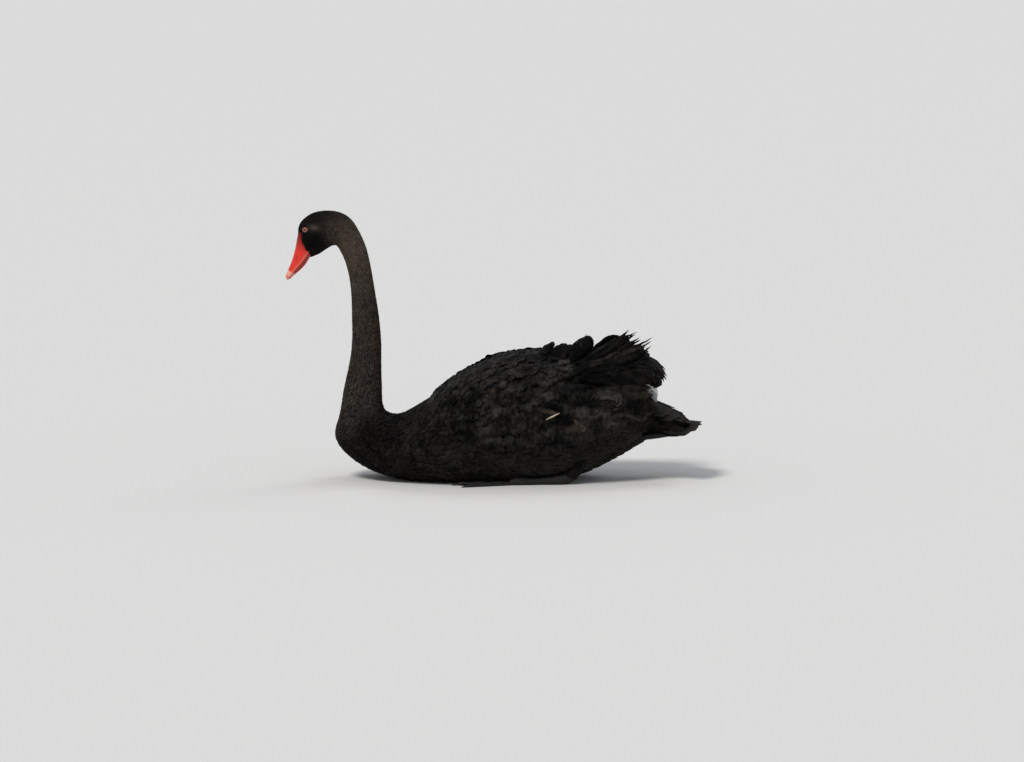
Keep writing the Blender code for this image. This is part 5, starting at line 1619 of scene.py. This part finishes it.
class OBJECT_OT_swan_ruffle(SwanPiece, bpy.types.Operator):
    """The curled plumes that stand over the rump"""

    bl_idname = "object.swan_ruffle"
    bl_label = "Ruffle"

    def execute(self, context):
        sizes, colours = look_of(context)
        finish = plumage_finish(
            "ruffle_plumage", colours, 0.55, barbs=650.0, rim=0.5, streak=0.45, mark=colours.tan, tips=0.8,
            folds=0.2, contrast=1.5,
        )
        for name, side in SIDES.items():
            draw = np.random.default_rng(40 + int(side))
            narrow = [
                vaned_feather(draw, 30, 9.0, end, 0.09, 0.20, 0.12, 0.7, 3) for end in (1.4, 1.8, 1.6, 2.2)
            ]
            broad = [vaned_feather(draw, 40, 4.4, end, 0.02, 0.06, 0.16, 0.4, 2) for end in (2.2, 2.8)]
            coat = Coat()
            self.plumes(coat, side, sizes, draw, narrow, broad)
            pointed = [vaned_feather(draw, 30, 9.0, end, 0.10, 0.22, 0.12, 0.6, 3) for end in (1.1, 1.3, 1.5)]
            self.fan(coat, side, draw, pointed, broad)
            for swirl in SWIRLS:
                self.swirl(coat, side, draw, narrow, *swirl)
            coat.piece(f"ruffle_{name}", finish, "wing_plumage")
        return {"FINISHED"}

    def put(
        self, coat, side, ways, faces, widths, shapes, draw, cup=(0.22, 0.42), crimp=0.16, light=0.0, tan=0.0
    ):
        """Lays feathers along ways and adds them to the coat."""
        paths = free_paths(ways, 12)
        faces, widths = np.array(faces), np.array(widths)
        kinds = draw.integers(0, len(shapes), len(ways))
        tone = 1.3 * draw.beta(1.3, 2.4, len(ways)) - 0.40 + light
        for k, shape in enumerate(shapes):
            mine = kinds == k
            if mine.any():
                up = np.broadcast_to(faces[mine][:, None, :], paths[mine].shape)
                bow = draw.uniform(*cup, mine.sum())
                points = lay(paths[mine], up, widths[mine] / 2, shape, bow, 0.0006, crimp, 3.0)
                light_of, marks = lit(points, side, tone[mine], 0.5 + 0 * tone[mine], 0.8)
                marks[..., 1] = np.maximum(marks[..., 1], tan)
                coat.add(points, shape, light_of, marks, trunk_root(paths[mine][:, 0]))

    def plumes(self, coat, side, sizes, draw, narrow, broad):
        """Each plume of the solids: a broad feather or two, with narrow wavy ones over them."""
        for name, (path, width, facing) in PLUMES.items():
            width = width + sizes.plume
            facing = unit(np.array(facing) * (1, side, 1))
            points = np.array(path) * (1, side, 1)
            points[:, 2] += RUFFLE_RISE[side] * np.clip((points[:, 2] - RUFFLE_FOOT) / RUFFLE_HEIGHT, 0, 1)
            spine = free_paths([points], 9)[0]
            share = np.linspace(0, 1, 9)[:, None]
            across = unit(np.cross(np.gradient(spine, axis=0), facing))
            if name in WHOLE_PLUMES:
                ways = [spine, spine * 1.0 - facing * 0.002 + draw.normal(0, 0.002, 3) * share]
                self.put(coat, side, ways, [facing, facing], [width * 1.05, width * 0.9], broad, draw, light=-0.15)
                continue
            ways, faces, widths = [], [], []
            for copy in range(2):
                ways.append(spine - facing * (0.002 + 0.002 * copy) - across * 0.006 * (copy - 0.5) * share)
                faces.append(facing)
                widths.append(width * 0.9)
            self.put(coat, side, ways, faces, widths, broad, draw, light=-0.25)
            ways, faces, widths = [], [], []
            count = sizes.plumes_each
            for k in range(count):
                lean = (k / (count - 1) - 0.5) if count > 1 else 0.0
                phase, beat = draw.uniform(0, 0.8) + 0.5 * k, draw.uniform(1.1, 1.5)
                reach = draw.uniform(0.84, 1.04) - 0.18 * abs(lean)
                wave = 0.0024 * np.sin(share * 2 * math.pi * beat + phase) * share
                way = spine + across * (lean * width * (0.45 + 0.45 * share) + wave)
                way = way[0] + (way - way[0]) * reach + facing * (0.0012 * (k % 2) + 0.002 * share**2 * draw.normal())
                ways.append(way)
                faces.append(unit(facing + 0.35 * lean * across[4] + draw.normal(0, 0.08, 3)))
                widths.append(width * draw.uniform(0.24, 0.34))
            self.put(coat, side, ways, faces, widths, narrow, draw, (0.12, 0.28))

    def fan(self, coat, side, draw, pointed, broad):
        """The wavy plumes that sweep back over the others, and spread to ragged points."""
        ways, faces, widths = [], [], []
        tips, count = np.array(FAN_TIPS), 2 * len(FAN_TIPS) - 1
        share = np.linspace(0, 1, 9)[:, None]
        for k in range(count):
            place = k / (count - 1)
            tip = spline(range(len(tips)), tips, [place * (len(tips) - 1)])[0] + draw.normal(0, 0.0016, 3)
            root = np.array(FAN_ROOTS[0]) * (1 - place) + np.array(FAN_ROOTS[1]) * place
            root = root + (draw.uniform(-0.014, 0.012), -0.005, draw.uniform(-0.003, 0.003))
            bulge = 0.002 * place - 0.006
            way = root + (tip - root) * share * (draw.uniform(0.80, 0.92) if k % 2 else draw.uniform(0.96, 1.03))
            wave = 0.0034 * np.sin(share * 2 * math.pi * draw.uniform(1.1, 1.6) + 0.55 * k) * share
            way = way + np.array([0.1, 0.0, 1.0]) * (wave + 4 * bulge * share * (1 - share))
            way = way + np.array([0.0, 1.0, 0.2]) * (0.010 * np.sin(math.pi * share) + 0.0012 * (k % 2))
            ways.append(way * (1, side, 1))
            ways[-1][:, 2] += RUFFLE_RISE[side] - RUFFLE_RISE[-1.0]
            faces.append((-0.1, 0.95 * side, 0.35 + draw.normal(0, 0.12)))
            widths.append(draw.uniform(0.0085, 0.0125))
        self.put(coat, side, ways, faces, widths, pointed, draw, (0.08, 0.22), 0.14)
        curls = [np.array(way) * (1, side, 1) for way in FAN_CURLS]
        faces = [(-0.1, 0.95 * side, 0.35)] * len(curls)
        self.put(coat, side, curls, faces, [0.019] * len(curls), broad, draw, (0.1, 0.3), 0.14)
        ways, faces, widths = [], [], []
        for root, tip in DRIPS:
            middle = (np.add(root, tip)) / 2 + (0.002, 0, 0.0015)
            ways.append(np.array([root, middle, tip]) * (1, side, 1))
            faces.append((0.3, 0.8 * side, 0.4))
            widths.append(0.0042)
        self.put(coat, side, ways, faces, widths, pointed, draw, (0.0, 0.1), 0.05)

    def swirl(self, coat, side, draw, narrow, place, size, rings, width, light, tan):
        """A curled covert: narrow feathers bent round an oval."""
        ways, faces, widths = [], [], []
        for k, share in enumerate(rings):
            turn = np.radians(np.linspace(205 - 12 * k, -75 + 25 * k, 9))
            x = place[0] + size[0] * share * np.cos(turn)
            z = place[2] + size[1] * share * np.sin(turn)
            y = place[1] + 0.0012 * k - 0.26 * (x - place[0])
            ways.append(np.stack([x, side * y, z], axis=1))
            faces.append((0.2, side, 0.15))
            widths.append(width - 0.0012 * k)
        # light lifts the tone of the curl as a painted sheen.
        self.put(coat, side, ways, faces, widths, narrow, draw, (0.1, 0.2), 0.05, light, tan)


class OBJECT_OT_swan_primaries(SwanPiece, bpy.types.Operator):
    """The white tips of the primaries, low behind the wings"""

    bl_idname = "object.swan_primaries"
    bl_label = "Primaries"

    def execute(self, context):
        _, colours = look_of(context)
        coat = Coat()
        for side in SIDES.values():
            draw = np.random.default_rng(60 + int(side))
            shape = vaned_feather(draw, 44, 8.4, 1.8, 0.03, 0.08, 0.07, 0.15)
            ways = []
            for i in range(6):
                share = i / 5 - 0.5
                root = np.array(PRIMARY_ROOT) + (0, 0.004 * share, 0.8 * PRIMARY_SPREAD * share)
                tip = np.array(PRIMARY_TIP) + (0.001 * share, 0.012 * share, PRIMARY_SPREAD * share)
                middle = root * 0.35 + tip * 0.65 + (0.006, 0.001, 0.012 + draw.uniform(-0.001, 0.001))
                ways.append(np.array([root, middle, tip]) * (1, side, 1))
            paths = free_paths(ways, 10)
            up = np.broadcast_to(np.array([0.2, side, 0.3]), paths.shape)
            points = lay(paths, up, 0.0075, shape, 0.05, 0.0004)
            coat.add(points, shape, draw.uniform(0.3, 1, 6), np.zeros((6, 2)), trunk_root(paths[:, 0]))
        coat.piece("primaries", white_finish("white_primaries", colours.primaries), "wing_plumage")
        self.covers()
        return {"FINISHED"}

    def covers(self):
        """The dark feathers that leave only the tips of the primaries in sight."""
        coat = Coat()
        for side in SIDES.values():
            draw = np.random.default_rng(64 + int(side))
            shape = vaned_feather(draw, 40, 10.0, 2.0, 0.06, 0.12, 0.12, 0.6, 3)
            ways = []
            share = np.linspace(0, 1, 7)[:, None]
            for k, (root, tip) in enumerate(PRIMARY_COVERS):
                root, tip = np.array(root), np.array(tip) + (0.0005, 0, 0) + draw.normal(0, (0.003, 0.0012, 0.002))
                way = root + (tip - root) * share + np.sin(math.pi * share) * (0, 0.008, 0.004)
                way = way + np.sin(share * 9 + 0.9 * k) * share * (0, 0.0008, 0.0022)
                ways.append(way * (1, side, 1))
            paths = free_paths(ways, 12)
            up = np.broadcast_to(np.array([0.25, side, 0.2]), paths.shape)
            points = lay(paths, up, 0.0088, shape, 0.16, 0.0006, 0.14)
            look = lit(points, side, draw.beta(2, 3, len(ways)) - 0.25, draw.uniform(0.3, 1.0, len(ways)))
            coat.add(points, shape, *look, trunk_root(paths[:, 0]))
        coat.piece("primary_covers", bpy.data.materials["ruffle_plumage"], "wing_plumage")


class OBJECT_OT_swan_tail(SwanPiece, bpy.types.Operator):
    """The short tail: its fan of feathers, between upper and under coverts"""

    bl_idname = "object.swan_tail"
    bl_label = "Tail"

    def execute(self, context):
        _, colours = look_of(context)
        draw = np.random.default_rng(70)
        coat = Coat()
        finish = plumage_finish(
            "tail_plumage", colours, 0.6, barbs=650.0, rim=0.4, mark=colours.tan, tips=0.3, folds=0.2
        )
        long = vaned_feather(draw, 40, 5.3, 2.6, 0.02, 0.06, 0.10, 0.3)
        short = vaned_feather(draw, 28, 3.4, 2.2, 0.04, 0.06, 0.14, 0.4, 4)
        self.fan(coat, long, (0.2900, 0.108), 14, 36.0, 0.091, 0.030, 4.0, 0.0010, draw)
        for x, length in ((0.262, 0.070), (0.276, 0.068), (0.290, 0.062)):
            z = 0.132 + (0.2965 - x) * 0.62
            self.fan(coat, short, (x, z), 9, 30.0, length, 0.032, 21.0, 0.0013, draw, 0.034)
        for z, fall in ((0.1025, 2.0), (0.0975, 0.0), (0.0925, -2.0)):
            self.fan(coat, short, (0.294, z), 12, 31.0, 0.068, 0.030, fall, -0.0006, draw, 0.034)
        for x in (0.262, 0.280, 0.2955):
            z = 0.0875 - (0.2965 - x) * 0.55
            self.fan(coat, short, (x, z), 8, 28.0, 0.070, 0.032, -8.0, -0.0012, draw, 0.032)
        self.sides(coat, draw)
        self.walls(coat, vaned_feather(draw, 26, 6.4, 2.2, 0.03, 0.08, 0.12, 0.4, 2), draw)
        piece = coat.piece("tail_feathers", finish, "wing_plumage")
        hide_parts("tail")
        self.core(colours)
        return {"FINISHED"}

    def sides(self, coat, draw):
        """The feathers that close the way from the flanks to the tail."""
        count = 120
        shapes = [vaned_feather(draw, 26, 4.2, end, 0.03, 0.08, 0.14, 0.4, 2) for end in (2.0, 2.6)]
        i = np.arange(count)
        u, v = evenly(count)
        along = 0.066 * u
        side = np.where(i % 2, 1.0, -1.0)
        angle = side * np.radians(52 + 84 * v)
        length = draw.uniform(0.042, 0.056, count) * np.interp(along, (0, 0.07), (1.0, 0.8))
        lift = draw.uniform(0.001, 0.004, count)
        turn = side * draw.normal(-0.05, 0.10, count)
        paths, out = coat_paths(along, angle, length, turn, np.full(count, 0.001), lift, 7)
        for k, shape in enumerate(shapes):
            mine = i % 4 // 2 == k
            points = lay(paths[mine], out[mine], length[mine] / 4.2, shape, 0.3, 0.0005, 0.08)
            tone = draw.beta(1.6, 2.6, mine.sum()) + 0.45
            coat.add(points, shape, tone, np.zeros((mine.sum(), 2)), body_place(along, angle)[mine])

    def core(self, colours):
        """The fleshy root of the tail, under its feathers."""
        around = np.linspace(0, 2 * math.pi, 40, endpoint=False)
        rings = []
        for x, wide, top, bottom in spline(
            range(4),
            [(0.285, 0.038, 0.134, 0.084), (0.305, 0.038, 0.126, 0.088), (0.322, 0.030, 0.114, 0.093), (0.332, 0.010, 0.106, 0.098)],
            np.linspace(0, 3, 14),
        ):
            middle, tall = (top + bottom) / 2, (top - bottom) / 2
            rings.append([(x, wide * math.sin(a), middle + tall * math.cos(a)) for a in around])
        points, faces = tube(rings)
        look = np.full((len(points), 4), 0.3)
        look[:, 1:3] = 0
        new_piece("tail_root", points, faces, bpy.data.materials["down_skin"], colours={"look": look})

    def fan(self, coat, shape, place, count, spread_out, length, width, fall, lay_step, draw, aside=0.030):
        """A fan of feathers, each a step lower than the next one in."""
        x, z = place
        over = math.copysign(1, lay_step)
        slope = math.tan(math.radians(fall))
        ways = []
        for i in range(count):
            share = 2 * i / (count - 1) - 1
            angle = math.radians(spread_out) * share
            reach = length * (1 - 0.15 * share * share) * draw.uniform(0.96, 1.03)
            height = z - lay_step * abs(share) * (count - 1) / 2
            way = []
            for step in (0.0, 0.5, 1.0):
                dome = 0.006 * share * share * (0.4 + 0.6 * step) - 0.006 * step * (1 - step)
                back = reach * math.cos(angle) * step
                out = aside * share + reach * math.sin(angle) * step
                way.append((x + back, out, height - slope * reach * step - dome * over))
            ways.append(way)
        paths = free_paths(ways, 8)
        facing = [(0.1, 0.45 * (2 * i / (count - 1) - 1), over) for i in range(count)]
        up = np.broadcast_to(np.array(facing)[:, None, :], paths.shape)
        points = lay(paths, up, width / 2, shape, 0.12, 0.0006)
        tone = draw.beta(2, 3, count) + 0.30
        coat.add(points, shape, tone, np.zeros((count, 2)), trunk_root(paths[:, 0]))

    def walls(self, coat, shape, draw):
        """The outermost feathers, whose sides close the fan towards the flanks."""
        for side in SIDES.values():
            ways = []
            for k in range(18):
                row, level = divmod(k, 6)
                start = 0.026 * row
                height = (0.1095, 0.1045, 0.0985)[row] - (0.0038, 0.0032, 0.0016)[row] * level
                root = np.array([0.276 + start, 0.030 + 0.60 * start, height + draw.normal(0, 0.0008)])
                reach = draw.uniform(0.046, 0.056) if row < 2 else draw.uniform(0.022, 0.028)
                ahead = np.array([0.84, 0.54, -0.02 - 0.05 * (level < 2) - 0.10 * (row == 1 and level < 3)])
                bow = np.array([0, 0.003, 0])
                way = [root, root + ahead * reach / 2 + bow, root + ahead * reach + bow * 0.6]
                ways.append(np.array(way) * (1, side, 1))
            paths = free_paths(ways, 8)
            up = np.broadcast_to(np.array([-0.45, 0.85 * side, 0.25]), paths.shape)
            points = lay(paths, up, np.repeat((0.0066, 0.0062, 0.0048), 6), shape, 0.2, 0.0005, 0.08)
            tone = draw.beta(1.6, 2.6, len(ways)) + 0.45
            coat.add(points, shape, tone, np.zeros((len(ways), 2)), trunk_root(paths[:, 0]))


def limb(stations, sides, rows):
    """A round limb through stations, each a place and a radius, flat where it meets the floor."""
    places = np.array([place for place, _ in stations], float)
    radii = np.array([[radius] for _, radius in stations], float)
    steps = np.concatenate([[0], np.cumsum(np.linalg.norm(np.diff(places, axis=0), axis=1))])
    at = np.linspace(0, steps[-1], rows)
    places, radii = spline(steps, places, at), spline(steps, radii, at)
    ahead = unit(np.gradient(places, axis=0))
    out = unit(np.cross(ahead, [0.0, 1.0, 0.0]))
    other = np.cross(out, ahead)
    turn = np.linspace(0, 2 * math.pi, sides, endpoint=False)[None, :, None]
    rings = places[:, None] + radii[:, None] * (np.cos(turn) * out[:, None] + np.sin(turn) * other[:, None])
    rings[..., 2] = np.maximum(rings[..., 2], 0)
    return tube(rings)


class OBJECT_OT_swan_legs(SwanPiece, bpy.types.Operator):
    """The black legs, folded forward under the flanks, with webbed toes and claws"""

    bl_idname = "object.swan_legs"
    bl_label = "Legs"

    def execute(self, context):
        _, colours = look_of(context)
        finish = leg_finish(colours)
        for name, side in SIDES.items():
            bodies = [limb([((x, side * y, z), r) for x, y, z, r in SHANK], 24, 70)]
            heel = np.array(TOE_JOINT)
            for tip, radius in TOE_TIPS + (HIND_TOE,):
                tip = np.array(tip)
                stations = []
                for share, thick in (
                    (-0.04, 0.9), (0.16, 0.92), (0.30, 1.05), (0.42, 0.86), (0.58, 1.0), (0.70, 0.80),
                    (0.84, 0.88), (0.92, 0.55), (1.0, 0.18),
                ):
                    place = heel + (tip - heel) * share
                    size = radius * thick
                    stations.append(((place[0], side * place[1], size * 0.72), size))
                bodies.append(limb(stations, 16, 60))
            bodies.append(self.web(side))
            points, faces = joined(bodies)
            piece = new_piece(f"leg_{name}_skin", points, faces, finish)
            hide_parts(f"leg_{name}")
        self.thighs()
        return {"FINISHED"}

    def thighs(self):
        """Small feathers over the upper part of each leg."""
        coat = Coat()
        for side in SIDES.values():
            draw = np.random.default_rng(80 + int(side))
            shape = small_feather(0.5, (0.25, 0.6, 0.88))
            table = np.array(SHANK) * (1, side, 1, 1)
            share = np.linspace(0, 1, 6)[None, :]
            start = draw.uniform(-0.9, 1.6, 240)[:, None]
            turn = draw.uniform(0, 2 * math.pi, 240)[:, None]
            at = np.clip(start + share * 0.75, -0.9, 3)
            row = [np.interp(at, range(3), table[:3, k]) + np.minimum(at, 0) * (table[1, k] - table[0, k]) for k in range(4)]
            size = np.clip(row[3] * 1.25 - 0.0006 * (at - start), 0.004, None) + 0.0012 * share
            ahead = unit(np.array([-0.45, 0.05 * side, -0.85]))
            first = unit(np.cross(ahead, [0.0, 1.0, 0.0]))
            second = np.cross(first, ahead)
            out = np.cos(turn)[..., None] * first + np.sin(turn)[..., None] * second + 0 * row[0][..., None]
            paths = np.stack(row[:3], axis=-1) + out * size[..., None]
            paths[..., 2] = np.maximum(paths[..., 2], FLOOR_CLEAR)
            points = lay(paths, out, 0.0042, shape, 0.3, 0.0005)
            coat.add(points, shape, draw.beta(2, 3, 240), np.zeros((240, 2)), trunk_root(paths[:, 0]))
        coat.piece("thigh_feathers", bpy.data.materials["body_plumage"], "plumage")

    def web(self, side):
        """The web between the toes, with a scalloped front edge, thin between the toes."""
        heel = np.array(TOE_JOINT)
        rows = []
        for (start, _), (end, _) in zip(TOE_TIPS, TOE_TIPS[1:]):
            a, b = np.array(start), np.array(end)
            for k in np.linspace(0, 1, 16, endpoint=False):
                edge = a + (b - a) * k
                rows.append(edge + (heel - edge) * (0.06 + (WEB_SCALLOP - 0.02) * math.sin(math.pi * k)))
        last = np.array(TOE_TIPS[-1][0])
        rows.append(last + (heel - last) * 0.06)
        edge = np.array(rows)
        share = np.linspace(0.02, 1, 20)[:, None, None]
        net = heel + (edge[None] - heel) * share
        ripple = 0.00035 * np.sin(share[..., 0] * 60) * np.sin(np.linspace(0, 2 * math.pi, len(edge)))[None] ** 2
        top = np.stack([net[..., 0], side * net[..., 1], WEB_THICKNESS * 0.8 + ripple], axis=-1)
        under = np.stack([net[..., 0], side * net[..., 1], 0 * ripple], axis=-1)
        return tube(np.concatenate([top, under[:, ::-1]], axis=1))


# Even soft lights: the way each comes from (degrees round from the camera's side, and up), its power,
# the width of its source in degrees and its tint.
SUNS = (
    ("key_light", (-32.0, 50.0), 1.75, 16.0, (1.0, 0.97, 0.93)),
    ("back_light", (140.0, 48.0), 0.45, 30.0, (0.94, 0.97, 1.0)),
)


class OBJECT_OT_swan_stage(SwanPiece, bpy.types.Operator):
    """The pale floor, soft light and camera"""

    bl_idname = "object.swan_stage"
    bl_label = "Stage"

    def execute(self, context):
        _, colours = look_of(context)
        scene = context.scene
        mesh = bpy.data.meshes.new("floor")
        reach = 60.0
        mesh.from_pydata([(-reach, -reach, 0), (reach, -reach, 0), (reach, reach, 0), (-reach, reach, 0)], [], [(0, 1, 2, 3)])
        mesh.materials.append(floor_finish(colours))
        floor = bpy.data.objects.new("floor", mesh)
        scene.collection.objects.link(floor)
        world = bpy.data.worlds.new("studio")
        world.use_nodes = True
        background = world.node_tree.nodes["Background"]
        background.inputs["Color"].default_value = (0.93, 0.95, 1.0, 1)
        background.inputs["Strength"].default_value = 0.40
        scene.world = world
        for name, (azimuth, height), power, softness, tint in SUNS:
            self.lamp(scene, name, azimuth, height, power, softness, tint)
        scene.view_settings.view_transform = "Standard"
        eye = bpy.data.cameras.new("camera")
        eye.lens = 234.4
        eye.sensor_width = 36.0
        eye.clip_end = 200.0
        camera = bpy.data.objects.new("camera", eye)
        target = np.array([0.0382, 0.0, 0.176])
        height = math.radians(7.0)
        place = target + 12.0 * np.array([0, -math.cos(height), math.sin(height)])
        camera.location = place
        camera.rotation_euler = (math.pi / 2 - height, 0, 0)
        scene.collection.objects.link(camera)
        scene.camera = camera
        return {"FINISHED"}

    def lamp(self, scene, name, azimuth, height, power, softness, tint):
        """An even light from far away, softened as by a large screen."""
        light = bpy.data.lights.new(name, "SUN")
        light.energy = power
        light.angle = math.radians(softness)
        light.color = tint
        made = bpy.data.objects.new(name, light)
        made.rotation_euler = (math.radians(90 - height), 0, math.radians(azimuth))
        scene.collection.objects.link(made)


PIECES = (
    OBJECT_OT_swan_skin,
    OBJECT_OT_swan_eyes,
    OBJECT_OT_swan_bill,
    OBJECT_OT_swan_body_coat,
    OBJECT_OT_swan_neck_coat,
    OBJECT_OT_swan_head_coat,
    OBJECT_OT_swan_wings,
    OBJECT_OT_swan_ruffle,
    OBJECT_OT_swan_primaries,
    OBJECT_OT_swan_tail,
    OBJECT_OT_swan_legs,
    OBJECT_OT_swan_stage,
)


class VIEW3D_PT_swan(bpy.types.Panel):
    """Sizes, colours and pieces of the swan"""

    bl_label = "Black swan"
    bl_space_type = "VIEW_3D"
    bl_region_type = "UI"
    bl_category = "Swan"

    def draw(self, context):
        for group in look_of(context):
            box = self.layout.box()
            for name in group.__annotations__:
                box.prop(group, name)
        for piece in PIECES:
            self.layout.operator(piece.bl_idname)


CLASSES = (SwanColours, SwanSizes, *PIECES, VIEW3D_PT_swan)


def register():
    for kind in CLASSES:
        bpy.utils.register_class(kind)
    bpy.types.Scene.swan_colours = bpy.props.PointerProperty(type=SwanColours)
    bpy.types.Scene.swan_sizes = bpy.props.PointerProperty(type=SwanSizes)


def unregister():
    del bpy.types.Scene.swan_sizes
    del bpy.types.Scene.swan_colours
    for kind in reversed(CLASSES):
        bpy.utils.unregister_class(kind)


def main():
    register()
    for piece in PIECES:
        group, name = piece.bl_idname.split(".")
        getattr(getattr(bpy.ops, group), name)()


if __name__ == "__main__":
    main()
